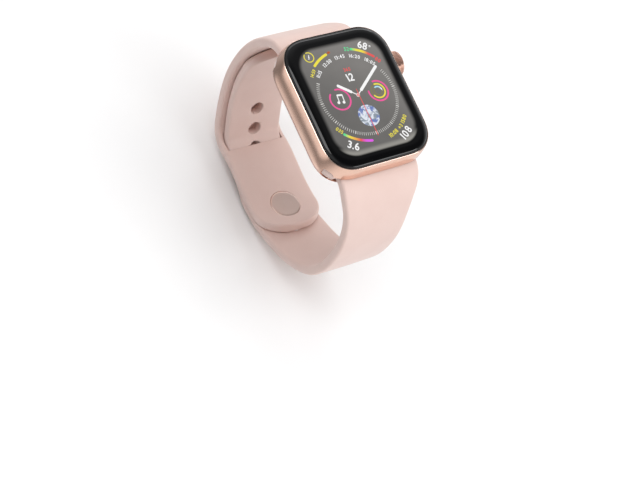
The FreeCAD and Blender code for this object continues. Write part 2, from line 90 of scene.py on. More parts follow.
def mapRange(tree, value, fromLow, fromHigh, toLow=0.0, toHigh=1.0, smooth=False):
    values = dict(enumerate((value, fromLow, fromHigh, toLow, toHigh)))
    kind = "SMOOTHSTEP" if smooth else "LINEAR"
    return addNode(tree, "ShaderNodeMapRange", values, clamp=True, interpolation_type=kind).outputs[0]


def objectPlace(tree):
    return addNode(tree, "ShaderNodeTexCoord").outputs["Object"]


def splitPlace(tree):
    return addNode(tree, "ShaderNodeSeparateXYZ", {0: objectPlace(tree)}).outputs


def noise(tree, scale, place=None, **more):
    values = {"Vector": place or objectPlace(tree), "Scale": scale, **more}
    return addNode(tree, "ShaderNodeTexNoise", values).outputs["Fac"]


def newGroup(name, kind, inputs, outputs):
    tree = bpy.data.node_groups.new(name, kind)
    for socketName, socketType, value in inputs:
        socket = tree.interface.new_socket(name=socketName, in_out="INPUT", socket_type=socketType)
        if value is not None:
            socket.default_value = value
    for socketName, socketType in outputs:
        tree.interface.new_socket(name=socketName, in_out="OUTPUT", socket_type=socketType)
    return tree, tree.nodes.new("NodeGroupInput"), tree.nodes.new("NodeGroupOutput")


# Shader groups shared by the materials.

def buildGrainGroup():
    gray = (0.5, 0.5, 0.5, 1)
    inputs = (("Color", "NodeSocketColor", gray), ("Tint", "NodeSocketColor", gray),
              ("Scale", "NodeSocketFloat", 900.0), ("Stretch", "NodeSocketVector", (1, 1, 1)),
              ("Rough Low", "NodeSocketFloat", 0.4), ("Rough High", "NodeSocketFloat", 0.5))
    outputs = (("Color", "NodeSocketColor"), ("Roughness", "NodeSocketFloat"), ("Height", "NodeSocketFloat"))
    tree, source, sink = newGroup("moldedGrain", "ShaderNodeTree", inputs, outputs)
    given = source.outputs
    place = addNode(tree, "ShaderNodeVectorMath", {0: objectPlace(tree), 1: given["Stretch"]},
                    operation="MULTIPLY").outputs[0]
    fine = noise(tree, given["Scale"], place, Detail=5.0, Roughness=0.6)
    cloud = noise(tree, mathNode(tree, "MULTIPLY", given["Scale"], 0.06), place, Detail=2.0)
    patch = mapRange(tree, cloud, 0.35, 0.65)
    speck = mapRange(tree, fine, 0.3, 0.7)
    blend = mathNode(tree, "MULTIPLY_ADD", speck, 0.35, mathNode(tree, "MULTIPLY", patch, 0.65))
    span = mathNode(tree, "SUBTRACT", given["Rough High"], given["Rough Low"])
    feed(tree, sink, {"Color": mixColor(tree, blend, given["Color"], given["Tint"]),
                      "Roughness": mathNode(tree, "MULTIPLY_ADD", blend, span, given["Rough Low"]),
                      "Height": speck})
    return tree


def buildRoundedMaskGroup():
    names = (("Half X", 0.01), ("Half Y", 0.01), ("Radius", 0.004), ("Softness", 0.001))
    inputs = [(name, "NodeSocketFloat", value) for name, value in names]
    outputs = (("Mask", "NodeSocketFloat"), ("Outside", "NodeSocketFloat"))
    tree, source, sink = newGroup("roundedMask", "ShaderNodeTree", inputs, outputs)
    given = source.outputs
    parts = splitPlace(tree)
    squares = []
    for axis, half in ((0, "Half X"), (1, "Half Y")):
        core = mathNode(tree, "SUBTRACT", given[half], given["Radius"])
        away = mathNode(tree, "SUBTRACT", mathNode(tree, "ABSOLUTE", parts[axis]), core)
        over = mathNode(tree, "MAXIMUM", away, 0.0)
        squares.append(mathNode(tree, "MULTIPLY", over, over))
    reach = mathNode(tree, "SQRT", mathNode(tree, "ADD", *squares))
    outside = mathNode(tree, "SUBTRACT", reach, given["Radius"])       # metres past the outline
    ratio = mathNode(tree, "DIVIDE", outside, given["Softness"])
    feed(tree, sink, {"Mask": mapRange(tree, ratio, -0.5, 0.5, 1.0, 0.0, smooth=True), "Outside": outside})
    return tree


grainGroup = buildGrainGroup()
roundedMask = buildRoundedMaskGroup()


def startMaterial(name):
    material = bpy.data.materials.new(name)
    material.use_nodes = True
    tree = material.node_tree
    return material, tree, tree.nodes["Principled BSDF"]


def placeGroup(tree, group, **values):
    named = {name.replace("_", " "): value for name, value in values.items()}
    return addNode(tree, "ShaderNodeGroup", named, node_tree=group)


even = (1, 1, 1)


def grainMaterial(name, color, tint, rough, scale, metallic=0.0, bump=0.1, stretch=even, coat=0.0,
                  sheen=0.0, specular=0.5):
    material, tree, shader = startMaterial(name)
    grain = placeGroup(tree, grainGroup, Color=color, Tint=tint, Scale=scale, Stretch=stretch,
                       Rough_Low=rough[0], Rough_High=rough[1]).outputs
    raised = addNode(tree, "ShaderNodeBump", {"Strength": bump, "Distance": 0.04 * mm,
                                              "Height": grain["Height"]})
    feed(tree, shader, {
        "Base Color": grain["Color"], "Roughness": grain["Roughness"], "Normal": raised.outputs["Normal"],
        "Metallic": metallic, "Coat Weight": coat, "Coat Roughness": 0.08, "Sheen Weight": sheen,
        "Sheen Roughness": 0.4, "Specular IOR Level": specular})
    return material


# Materials.

# By slot: name, colour, tint, roughness range, grain scale, metallic, bump, stretch, coat, sheen, specular.
finishes = {
    "case_metal": ("caseMetal", (0.86, 0.575, 0.455), (0.82, 0.53, 0.41), (0.16, 0.21), 5200.0, 1.0, 0.06),
    "rim": ("rimMetal", (0.98, 0.78, 0.68), (0.94, 0.72, 0.61), (0.10, 0.15), 3800.0, 1.0, 0.03),
    "crown_metal": ("crownMetal", (0.84, 0.53, 0.42), (0.76, 0.46, 0.36), (0.26, 0.34), 4200.0, 1.0, 0.06,
                    (0.2, 1, 1)),
    "band_rubber": ("bandElastomer", (0.80, 0.61, 0.553), (0.775, 0.582, 0.526), (0.50, 0.60), 2600.0,
                    0.0, 0.16, even, 0.0, 0.22, 0.35),
    "pin_metal": ("pinMetal", (0.93, 0.73, 0.66), (0.89, 0.68, 0.60), (0.30, 0.38), 3000.0, 1.0, 0.08),
    "back_ceramic": ("backCeramic", (0.020, 0.020, 0.022), (0.014, 0.014, 0.015), (0.10, 0.16), 1400.0,
                     0.0, 0.02, even, 0.6),
    "seal_rubber": ("sealRubber", (0.02, 0.02, 0.02), (0.035, 0.035, 0.035), (0.6, 0.75), 1800.0),
    "shield_steel": ("shieldSteel", (0.60, 0.60, 0.60), (0.48, 0.48, 0.49), (0.28, 0.42), 1600.0, 1.0,
                     0.12, (0.08, 1, 1)),
    "board": ("circuitBoard", (0.010, 0.045, 0.028), (0.018, 0.070, 0.042), (0.35, 0.5), 1500.0,
              0.0, 0.1, even, 0.3),
    "flex_circuit": ("flexAmber", (0.45, 0.20, 0.05), (0.33, 0.14, 0.04), (0.3, 0.42), 1400.0),
    "cell_wrap": ("cellWrap", (0.045, 0.045, 0.048), (0.07, 0.07, 0.072), (0.42, 0.58), 1100.0),
    "module_plastic": ("modulePlastic", (0.020, 0.020, 0.022), (0.034, 0.034, 0.037), (0.45, 0.6), 2100.0),
    "mass_metal": ("massMetal", (0.22, 0.22, 0.23), (0.16, 0.16, 0.165), (0.4, 0.55), 2300.0, 1.0, 0.2),
    "spring_steel": ("springSteel", (0.66, 0.65, 0.62), (0.55, 0.54, 0.52), (0.18, 0.28), 1700.0, 1.0,
                     0.06, (1, 0.1, 1)),
    "coil_copper": ("coilCopper", (0.64, 0.27, 0.13), (0.50, 0.19, 0.09), (0.25, 0.38), 1900.0, 1.0),
    "magnet": ("magnetPlate", (0.52, 0.52, 0.54), (0.44, 0.44, 0.46), (0.2, 0.3), 1300.0, 1.0),
    "bush_brass": ("bushBrass", (0.70, 0.50, 0.22), (0.60, 0.41, 0.17), (0.22, 0.34), 1500.0, 1.0, 0.08,
                   (0.1, 1, 1))}
finish = {slot: grainMaterial(*row) for slot, row in finishes.items()}
finish["display"] = finish["module_plastic"]
print("plain materials made:", len(finishes))

# Screen grey from dim to reflectionBright: painted reflection with a faint glow of the screen itself;
# footReflection: a painted glint along the foot of the screen.
screen = {"halfX": 12.62, "halfY": 15.35, "radius": 5.6, "softness": 1.5,      # mm
          "dim": (0.148, 0.143, 0.137), "reflectionBright": (0.225, 0.215, 0.205),
          "footReflection": (0.36, 0.35, 0.32), "reflectionShareAtFoot": 0.8, "surface": (10.50, 10.60)}


def makeCoverGlass():
    # Black laminated glass; over the screen lies a soft-edged grey field, a painted reflection with a faint
    # glow of the screen itself, painted brighter towards the upper right.
    material, tree, shader = startMaterial("coverGlass")
    mask = placeGroup(tree, roundedMask, Half_X=screen["halfX"] * mm, Half_Y=screen["halfY"] * mm,
                      Radius=screen["radius"] * mm, Softness=screen["softness"] * mm).outputs
    x, y, z = splitPlace(tree)
    # Painted reflection: grey sheen over the screen, brighter towards the upper right.
    sweep = mathNode(tree, "MULTIPLY_ADD", y, 1.1, mathNode(tree, "MULTIPLY", x, 0.9))
    sheenClimb = mapRange(tree, sweep, -14 * mm, 22 * mm, smooth=True)
    cells = noise(tree, 160.0)
    paintedSheen = mixColor(tree, sheenClimb, screen["dim"], screen["reflectionBright"])
    paintedSheen = mixColor(tree, 1.0, paintedSheen, mapRange(tree, cells, 0.3, 0.7, 0.94, 1.04), "MULTIPLY")
    top = mapRange(tree, z, *(level * mm for level in screen["surface"]))
    lit = mixColor(tree, mathNode(tree, "MULTIPLY", mask["Mask"], top), (0.0, 0.0, 0.0), paintedSheen)
    # Painted reflection: a paler glinting strip along the foot of the screen.
    inner = mapRange(tree, mask["Outside"], -1.1 * mm, 0.15 * mm, smooth=True)
    outer = mapRange(tree, mask["Outside"], 0.35 * mm, 1.0 * mm, 1.0, 0.0, smooth=True)
    foot = mapRange(tree, y, -12.5 * mm, -15.0 * mm, smooth=True)
    glintStrip = mathNode(tree, "MULTIPLY", mathNode(tree, "MULTIPLY", inner, outer), foot)
    lit = mixColor(tree, mathNode(tree, "MULTIPLY", glintStrip, screen["reflectionShareAtFoot"]), lit, screen["footReflection"])
    smudge = mapRange(tree, cells, 0.2, 0.8)
    feed(tree, shader, {
        "Emission Color": lit, "Emission Strength": 1.0,
        "Base Color": mixColor(tree, smudge, (0.0022, 0.0023, 0.0027), (0.0034, 0.0034, 0.0036)),
        "Roughness": mapRange(tree, cells, 0.2, 0.8, 0.03, 0.07)})
    return material


def glowMaterial(name, paint, base=None, strength=0.95):
    # Lit mark on the dial; without a base colour it is a darker shade of its own light.
    material, tree, shader = startMaterial(name)
    lit = paint(tree)
    feed(tree, shader, {"Emission Color": lit, "Emission Strength": strength, "Roughness": 0.12,
                        "Base Color": base or mixColor(tree, 0.9, lit, (0.0, 0.0, 0.0))})
    return material


def speckled(tree, color, low):
    return mixColor(tree, 1.0, color, mapRange(tree, noise(tree, 1500.0), 0.3, 0.7, low, 1.0), "MULTIPLY")


def markPaint(tree):
    return speckled(tree, addNode(tree, "ShaderNodeAttribute", attribute_name="tone").outputs["Color"], 0.92)


def tickPaint(tree):
    return speckled(tree, (0.72, 0.71, 0.68), 0.9)


def globePaint(tree):
    # Blue water under white cloud.
    ground = mapRange(tree, noise(tree, 380.0), 0.52, 0.56)
    base = mixColor(tree, ground, (0.16, 0.22, 0.50), (0.30, 0.34, 0.36))
    white = mapRange(tree, noise(tree, 620.0, Detail=4.0, Distortion=1.2), 0.46, 0.58)
    return mixColor(tree, white, base, (0.88, 0.92, 0.98))


lens = {"ring": 8.7, "ringEdge": (0.42, 0.50), "window": 2.7, "windowEdge": (1.35, 1.5)}       # mm


def makeSensorGlass():
    # Dark crystal with a metal ring near its rim and four small windows round the middle.
    material, tree, shader = startMaterial("sensorGlass")
    x, y, z = splitPlace(tree)
    reach = mathNode(tree, "SQRT", mathNode(tree, "MULTIPLY_ADD", y, y, mathNode(tree, "MULTIPLY", x, x)))
    fromRing = mathNode(tree, "ABSOLUTE", mathNode(tree, "SUBTRACT", reach, lens["ring"] * mm))
    inRing = mapRange(tree, fromRing, *(edge * mm for edge in lens["ringEdge"]), 1.0, 0.0)
    awayX, awayY = (mathNode(tree, "SUBTRACT", mathNode(tree, "ABSOLUTE", part), lens["window"] * mm)
                    for part in (x, y))
    squareAway = mathNode(tree, "MULTIPLY", awayX, awayX)
    spot = mathNode(tree, "SQRT", mathNode(tree, "MULTIPLY_ADD", awayY, awayY, squareAway))
    window = mapRange(tree, spot, *(edge * mm for edge in lens["windowEdge"]), 1.0, 0.0)
    grain = placeGroup(tree, grainGroup, Color=(0.012, 0.012, 0.014), Tint=(0.018, 0.016, 0.018),
                       Scale=900.0, Rough_Low=0.05, Rough_High=0.09).outputs
    dark = mixColor(tree, window, grain["Color"], (0.055, 0.012, 0.014))
    feed(tree, shader, {
        "Base Color": mixColor(tree, inRing, dark, (0.55, 0.50, 0.46)), "Metallic": inRing,
        "Roughness": mathNode(tree, "MULTIPLY_ADD", inRing, 0.2, grain["Roughness"]), "Coat Weight": 0.5})
    return material


finish["cover_glass"] = makeCoverGlass()
finish["sensor_glass"] = makeSensorGlass()
litTone = glowMaterial("litTone", markPaint)
tickTone = glowMaterial("tickTone", tickPaint, (0.05, 0.05, 0.05))
globeTone = glowMaterial("dialGlobe", globePaint, (0.02, 0.03, 0.06), 0.85)

for subpart in frame["record"]["subparts"]:
    node = frame["nodes"][subpart["node"]]
    node.data.materials.clear()
    node.data.materials.append(finish[subpart["material_slot"]])
print("materials on the CAD nodes")


def placePiece(piece, body, node=None):
    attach(piece, body)
    if node:
        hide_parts(node)


# Mesh helpers, all sizes in mm.

def meshObject(name, points, faces, materials, faceSlots=None):
    mesh = bpy.data.meshes.new(name)
    mesh.from_pydata([Vector(point) * mm for point in points], [], faces)
    for material in materials:
        mesh.materials.append(material)
    if faceSlots:
        mesh.polygons.foreach_set("material_index", faceSlots)
    mesh.update()
    made = bpy.data.objects.new(name, mesh)
    scene.collection.objects.link(made)
    return made


def tidyMesh(made, sharpAngle=32.0, merge=0.002):
    work = bmesh.new()
    work.from_mesh(made.data)
    bmesh.ops.remove_doubles(work, verts=work.verts, dist=merge * mm)
    bmesh.ops.recalc_face_normals(work, faces=work.faces)
    work.to_mesh(made.data)
    work.free()
    made.data.shade_smooth()
    made.data.set_sharp_from_angle(angle=math.radians(sharpAngle))
    return made


def settle(made):
    # Turns the modifiers' result into the piece's own plain mesh.
    graph = bpy.context.evaluated_depsgraph_get()
    result = bpy.data.meshes.new_from_object(made.evaluated_get(graph), depsgraph=graph)
    made.modifiers.clear()
    old = made.data
    made.data = result
    bpy.data.meshes.remove(old)
    return made


def discard(made):
    mesh = made.data
    bpy.data.objects.remove(made)
    bpy.data.meshes.remove(mesh)


def carve(target, cutters, operation="DIFFERENCE"):
    for cutter in cutters:
        change = target.modifiers.new("carve", "BOOLEAN")
        change.operation = operation
        change.solver = "EXACT"
        change.object = cutter
    settle(target)
    for cutter in cutters:
        discard(cutter)
    return target


def soften(made, width, angle):
    bevel = made.modifiers.new("soften", "BEVEL")
    bevel.width = width * mm
    bevel.segments = 2
    bevel.limit_method = "ANGLE"
    bevel.angle_limit = math.radians(angle)
    return settle(made)


def loopsToMesh(name, loops, materials, loopSlots=None, closed=False):
    # Skins a list of equal loops; the ends are capped unless the skin closes on itself.
    count = len(loops[0])
    points = [point for loop in loops for point in loop]
    faces = []
    slots = []
    last = len(loops) if closed else len(loops) - 1
    for row in range(last):
        for column in range(count):
            here = row * count
            there = ((row + 1) % len(loops)) * count
            after = (column + 1) % count
            faces.append((here + column, here + after, there + after, there + column))
            slots.append(loopSlots[row] if loopSlots else 0)
    if not closed:
        faces.append(tuple(range(count - 1, -1, -1)))
        faces.append(tuple((len(loops) - 1) * count + column for column in range(count)))
        slots += [0, 0]
    return meshObject(name, points, faces, materials, slots)


outlineSteps = {"corner": 22, "sideX": 12, "sideY": 16, "power": 2.35}


def outlineLoop(halfX, halfY, radius, level):
    # Rounded rectangle whose corners ease into the sides.
    spanX = halfX - radius
    spanY = halfY - radius
    power = 2.0 / outlineSteps["power"]
    corners = ((1, 1, 0), (-1, 1, 1), (-1, -1, 2), (1, -1, 3))
    loop = []
    for signX, signY, quarter in corners:
        for step in range(outlineSteps["corner"]):
            angle = math.pi / 2 * step / outlineSteps["corner"]
            near = math.cos(angle) ** power
            far = math.sin(angle) ** power
            acrossX, acrossY = (near, far) if quarter % 2 == 0 else (far, near)
            loop.append((signX * (spanX + radius * acrossX), signY * (spanY + radius * acrossY), level))
        alongX = quarter % 2 == 0
        steps = outlineSteps["sideX"] if alongX else outlineSteps["sideY"]
        for step in range(steps):
            ratio = 1 - 2 * step / steps
            if alongX:
                loop.append((signX * spanX * ratio, signY * halfY, level))
            else:
                loop.append((signX * halfX, signY * spanY * ratio, level))
    return loop


def turnedPiece(name, profile, segments, centre, axis, materials):
    # Solid of revolution: profile is (distance along the axis, radius), from one pole to the other.
    axis = Vector(axis).normalized()
    side = axis.orthogonal().normalized()
    other = axis.cross(side)
    loops = []
    for along, radius in profile:
        radius = max(radius, 0.004)
        loops.append([Vector(centre) + axis * along + side * (radius * math.cos(2 * math.pi * k / segments))
                      + other * (radius * math.sin(2 * math.pi * k / segments)) for k in range(segments)])
    return loopsToMesh(name, loops, materials)


# Case.

case = {"halfX": 17.0, "halfY": 20.0, "corner": 9.4, "bottom": 1.3, "belt": 5.0, "top": 9.75,
        "lowerInset": 1.6, "upperBulge": 2.7, "upperSpan": 7.45, "rimInner": 0.86,
        "backHalfX": 13.06, "backHalfY": 14.36, "backCorner": 6.5, "cutReach": 18.5,
        "room": (14.6, 14.4, 5.4), "roomLow": 3.1, "roomHigh": 6.6, "ventX": -13.7, "ventHalf": (4.5, 0.4)}
lug = {"half": 12.3, "near": 15.3, "far": 17.9, "low": 2.3, "high": 6.1, "gap": 0.06,
       "neck": 2.8, "neckLevel": 3.6, "mouthBelow": 0.35, "endGap": 0.30, "rounding": 0.9}
crown = {"y": 7.95, "z": 5.3, "radius": 3.65, "face": 16.9, "end": 19.9, "recess": 16.4, "ridges": 76,
         "clearance": 0.25, "ridgeThick": 0.17}
sideButton = {"y": -7.9, "z": 5.3, "halfY": 5.2, "halfZ": 1.35, "gap": 0.06, "recess": 15.3}
release = {"y": 16.1, "halfX": 2.36, "halfY": 0.86}


def wallInset(level):
    if level < case["belt"]:
        ratio = (case["belt"] - level) / (case["belt"] - case["bottom"])
        return case["lowerInset"] * (1 - math.sqrt(max(0.0, 1 - ratio * ratio)))
    ratio = (level - case["belt"]) / case["upperSpan"]
    return case["upperBulge"] * (1 - math.sqrt(1 - ratio * ratio))


def caseLoop(inset, level):
    return outlineLoop(case["halfX"] - inset, case["halfY"] - inset, case["corner"] - inset, level)


def barAlongX(name, profile, halfLength):
    # Straight bar along X from a closed (y, z) profile.
    steps = 18
    loops = []
    for step in range(steps + 1):
        x = -halfLength + 2 * halfLength * step / steps
        loops.append([(x, y, z) for y, z in profile])
    return loopsToMesh(name, loops, [])


def roundedProfile(lowY, highY, lowZ, highZ, radius, steps=6):
    points = []
    for centreY, centreZ, turn in ((highY - radius, highZ - radius, 0), (lowY + radius, highZ - radius, 90),
                                   (lowY + radius, lowZ + radius, 180), (highY - radius, lowZ + radius, 270)):
        for step in range(steps + 1):
            angle = math.radians(turn + 90 * step / steps)
            points.append((centreY + radius * math.cos(angle), centreZ + radius * math.sin(angle)))
    return points


def channelCutters(end):
    gap = lug["gap"]
    channel = roundedProfile(lug["near"] - gap, lug["far"] + gap, lug["low"] - gap, lug["high"] + gap, 1.0)
    low = lug["neckLevel"] - lug["neck"] / 2 - lug["mouthBelow"]
    high = lug["neckLevel"] + lug["neck"] / 2 + gap
    mouth = roundedProfile(lug["far"] - 1.0, lug["far"] + 4.0, low, high, 0.25, 3)
    groove = roundedProfile(release["y"] - 0.8, release["y"] + 0.8, 1.83, 3.0, 0.2, 3)
    cutters = []
    for profile in (channel, mouth, groove):
        placed = [(end * y, z) for y, z in profile]
        cutters.append(tidyMesh(barAlongX("channelCutter", placed, case["cutReach"])))
    return cutters


def pillLoop(x, centreY, centreZ, halfY, halfZ, steps=14):
    loop = []
    for side in (1, -1):
        for step in range(steps + 1):
            angle = side * math.pi / 2 - side * math.pi / 2 + math.pi * step / steps
            angle = angle - math.pi / 2 if side == 1 else angle + math.pi / 2
            loop.append((x, centreY + side * (halfY - halfZ) + halfZ * math.cos(angle),
                         centreZ + halfZ * math.sin(angle)))
    return loop


def buildCase():
    loops = []
    slots = []

    def add(loop, slot=0):
        loops.append(loop)
        slots.append(slot)

    def backLoop(level):
        return outlineLoop(case["backHalfX"], case["backHalfY"], case["backCorner"], level)

    add(backLoop(2.6))
    add(backLoop(case["bottom"] + 0.12))
    add(outlineLoop(case["backHalfX"] + 0.12, case["backHalfY"] + 0.12, case["backCorner"], case["bottom"]))
    for step in range(0, 15):
        angle = math.radians(90 - 90 * step / 14)
        level = case["belt"] - (case["belt"] - case["bottom"]) * math.sin(angle)
        add(caseLoop(case["lowerInset"] * (1 - math.cos(angle)), level))
    for step in range(1, 11):
        level = case["belt"] + (case["top"] - case["belt"]) * step / 10
        add(caseLoop(wallInset(level), level), 1 if step == 10 else 0)
    edge = wallInset(case["top"])
    add(caseLoop(edge + 0.10, case["top"] + 0.05), 1)
    add(caseLoop(case["rimInner"], case["top"] + 0.03), 1)
    add(caseLoop(case["rimInner"] + 0.02, case["top"] - 0.6))
    add(caseLoop(2.4, case["top"] - 1.1))
    add(caseLoop(2.4, 6.8))
    add(outlineLoop(*case["room"], case["roomHigh"]))
    add(outlineLoop(*case["room"], case["roomLow"]))
    shell = loopsToMesh("case_body", loops, [finish["case_metal"], finish["rim"]], slots, closed=True)
    tidyMesh(shell)
    cutters = channelCutters(1) + channelCutters(-1)
    bore = crown["radius"] + crown["clearance"]
    ends = (crown["recess"], case["cutReach"])
    profile = ((ends[0], 0), (ends[0], bore), (ends[1], bore), (ends[1], 0))
    crownHole = turnedPiece("crownCutter", profile, 72, (0, crown["y"], crown["z"]), (1, 0, 0), [])
    half = (sideButton["halfY"] + sideButton["gap"], sideButton["halfZ"] + sideButton["gap"])
    depths = (sideButton["recess"], case["cutReach"])
    pills = [pillLoop(x, sideButton["y"], sideButton["z"], *half) for x in depths]
    cutters += [tidyMesh(crownHole), tidyMesh(loopsToMesh("buttonCutter", pills, []))]
    for end in (1, -1):
        pill = pillLoop(0, 0, 0, release["halfX"], release["halfY"])
        pill = [(y, end * release["y"] + z) for _, y, z in pill]
        hole = [[(x, y, level) for x, y in pill] for level in (0.5, 2.6)]
        cutters.append(tidyMesh(loopsToMesh("releaseCutter", hole, [])))
    pill = [(case["ventX"] + z, y) for _, y, z in pillLoop(0, 0, 0, *case["ventHalf"])]
    vent = [[(x, y, level) for x, y in pill] for level in (0.5, 3.6)]
    cutters.append(tidyMesh(loopsToMesh("ventCutter", vent, [])))
    carve(shell, cutters)
    soften(shell, 0.09, 42)
    tidyMesh(shell, 34)
    weigh = shell.modifiers.new("weigh", "WEIGHTED_NORMAL")
    weigh.keep_sharp = True
    settle(shell)
    return shell


caseBody = buildCase()
placePiece(caseBody, "case", "case_shell")
print("case body:", len(caseBody.data.polygons), "faces")

glass = {"halfX": 16.05, "halfY": 19.05, "corner": 8.5, "bottom": 9.2, "shoulder": 9.62, "top": 10.66,
         "curveIn": 2.1}


def buildGlass():
    loops = []

    def add(inset, level):
        sizes = (glass[name] - inset for name in ("halfX", "halfY", "corner"))
        loops.append(outlineLoop(*sizes, level))

    add(0.5, glass["bottom"])
    add(0.0, glass["bottom"] + 0.1)
    add(0.0, glass["shoulder"] - 0.15)
    for step in range(0, 15):
        angle = math.radians(90 * step / 14)
        add(glass["curveIn"] * (1 - math.cos(angle)),
            glass["shoulder"] + (glass["top"] - glass["shoulder"]) * math.sin(angle))
    add(glass["curveIn"] + 0.15, glass["top"])
    add(glass["curveIn"] + 0.8, glass["top"])
    return tidyMesh(loopsToMesh("cover_glass", loops, [finish["cover_glass"]]), 60)


placePiece(buildGlass(), "case", "front_crystal")


# Crown and side button.

def geometryTree(name, inputs):
    allInputs = (("Geometry", "NodeSocketGeometry", None),) + inputs
    return newGroup(name, "GeometryNodeTree", allInputs, (("Geometry", "NodeSocketGeometry"),))


def runTree(made, tree, values):
    # Sets the tree's inputs by identifier, then keeps only the plain mesh it makes.
    change = made.modifiers.new(tree.name, "NODES")
    change.node_group = tree
    for item in tree.interface.items_tree:
        if item.item_type == "SOCKET" and item.in_out == "INPUT" and item.name in values:
            change[item.identifier] = values[item.name]
    return settle(made)


def endTree(tree, sink, geometry, material):
    realize = addNode(tree, "GeometryNodeRealizeInstances", {0: geometry})
    last = addNode(tree, "GeometryNodeSetMaterial", {"Geometry": realize.outputs[0], "Material": material})
    feed(tree, sink, {0: last.outputs[0]})
    return tree


def emptyMesh(name):
    made = bpy.data.objects.new(name, bpy.data.meshes.new(name))
    scene.collection.objects.link(made)
    return made


def ridgeTree():
    # Fine ridges round the crown's rim, lying along X.
    tree, source, sink = geometryTree("crownRidges", (
        ("Count", "NodeSocketInt", 60), ("Radius", "NodeSocketFloat", 0.003),
        ("Length", "NodeSocketFloat", 0.001), ("Thickness", "NodeSocketFloat", 0.0002),
        ("Place", "NodeSocketVector", (0, 0, 0))))
    given = source.outputs
    circle = addNode(tree, "GeometryNodeMeshCircle", {"Vertices": given["Count"], "Radius": given["Radius"]})
    half = mathNode(tree, "MULTIPLY", given["Thickness"], 0.5)
    bar = addNode(tree, "GeometryNodeMeshCylinder", {"Vertices": 8, "Radius": half, "Depth": given["Length"]})
    ring = addNode(tree, "GeometryNodeInstanceOnPoints", {
        "Points": circle.outputs[0], "Instance": bar.outputs[0]})
    turn = addNode(tree, "GeometryNodeTransform", {
        "Geometry": ring.outputs[0], "Translation": given["Place"], "Rotation": (0, math.pi / 2, 0)})
    return endTree(tree, sink, turn.outputs[0], finish["crown_metal"])


def buildCrown():
    radius = crown["radius"] - 0.10
    face = crown["face"]
    end = crown["end"]
    centre = (0, crown["y"], crown["z"])
    profile = [(face, 0), (face, 2.6), (face + 0.02, radius - 0.25), (face + 0.12, radius - 0.06),
               (face + 0.3, radius)]
    rim = ((0.75, 0.0), (0.55, 0.03), (0.36, 0.14), (0.25, 0.30), (0.21, 0.45), (0.21, 0.62), (0.27, 0.66),
           (0.27, 0.74), (0.20, 0.80))
    profile += [(end - short, radius - inset) for short, inset in rim]
    for step in range(1, 9):
        angle = math.radians(90 * step / 8)
        profile.append((end - 0.20 + 0.15 * math.sin(angle), (radius - 0.80) * math.cos(angle)))
    knob = turnedPiece("crown_cap", profile, 96, centre, (1, 0, 0), [finish["crown_metal"]])
    tidyMesh(knob, 40)
    ridges = emptyMesh("crown_ridges")
    length = end - face - 1.15
    place = ((face + 0.35 + length / 2) * mm, crown["y"] * mm, crown["z"] * mm)
    runTree(ridges, ridgeTree(), {
        "Count": crown["ridges"], "Radius": (radius + 0.015) * mm, "Length": length * mm,
        "Thickness": crown["ridgeThick"] * mm, "Place": place})
    return knob, ridges


crownCap, crownRidges = buildCrown()
placePiece(crownCap, "crown", "crown_knob")
placePiece(crownRidges, "crown")


def wallX(y, z):
    # Outer surface of the case on the crown side.
    inset = wallInset(z)
    radius = case["corner"] - inset
    past = abs(y) - (case["halfY"] - case["corner"])
    flank = case["halfX"] - inset
    if past <= 0:
        return flank
    power = outlineSteps["power"]
    return flank - radius * (1 - (1 - (past / radius) ** power) ** (1 / power))


def buildSideButton():
    loops = []
    rows = ((1.0, 1.0), (1.0, 0.14), (0.985, 0.05), (0.95, 0.0), (0.75, -0.01), (0.45, -0.01), (0.15, -0.01))
    for scale, depth in rows:
        halfZ = sideButton["halfZ"] * scale
        halfY = sideButton["halfY"] - sideButton["halfZ"] + halfZ
        loop = pillLoop(0, sideButton["y"], sideButton["z"], halfY, halfZ)
        loops.append([(wallX(y, z) - depth - 0.02, y, z) for _, y, z in loop])
    return tidyMesh(loopsToMesh("side_button_cap", loops, [finish["case_metal"]]), 50)


placePiece(buildSideButton(), "side_button", "side_button")
print("crown and side button done")


# Back.

back = {"domeReach": 12.9, "domeDepth": 1.3, "sensor": 10.0}
domeRadius = (back["domeReach"] ** 2 + back["domeDepth"] ** 2) / (2 * back["domeDepth"])


def domeLevel(reach):
    return domeRadius - math.sqrt(domeRadius ** 2 - reach ** 2)


def roundLoop(pattern, reach, level):
    # Circle whose points lie in the same directions as the pattern loop's.
    loop = []
    for x, y, _ in pattern:
        size = math.hypot(x, y)
        loop.append((x * reach / size, y * reach / size, level))
    return loop


def buildBack():
    pattern = outlineLoop(13.0, 14.3, 6.5, 1.3)
    loops = [roundLoop(pattern, back["sensor"] + 0.05, 2.0), outlineLoop(12.95, 14.25, 6.45, 2.0),
             outlineLoop(12.98, 14.28, 6.48, 1.42), outlineLoop(12.88, 14.18, 6.38, 1.33)]
    steps = 12
    for step in range(steps + 1):
        reach = 12.6 + (back["sensor"] + 0.05 - 12.6) * step / steps
        loops.append(roundLoop(pattern, reach, domeLevel(reach)))
    cover = loopsToMesh("ceramic_back", loops, [finish["back_ceramic"]], closed=True)
    profile = [(1.75, 0), (1.75, back["sensor"] - 0.05), (domeLevel(back["sensor"]) + 0.12, back["sensor"]),
               (domeLevel(back["sensor"]) + 0.02, back["sensor"] - 0.08)]
    for step in range(1, 25):
        reach = back["sensor"] * (1 - step / 24)
        profile.append((domeLevel(reach), reach))
    lens = turnedPiece("sensor_lens", profile, 96, (0, 0, 0), (0, 0, 1), [finish["sensor_glass"]])
    return tidyMesh(cover, 40), tidyMesh(lens, 40)


ceramicBack, sensorLens = buildBack()
placePiece(ceramicBack, "case", "back_cover")
placePiece(sensorLens, "case", "sensor_crystal")
print("back done")


# Band.

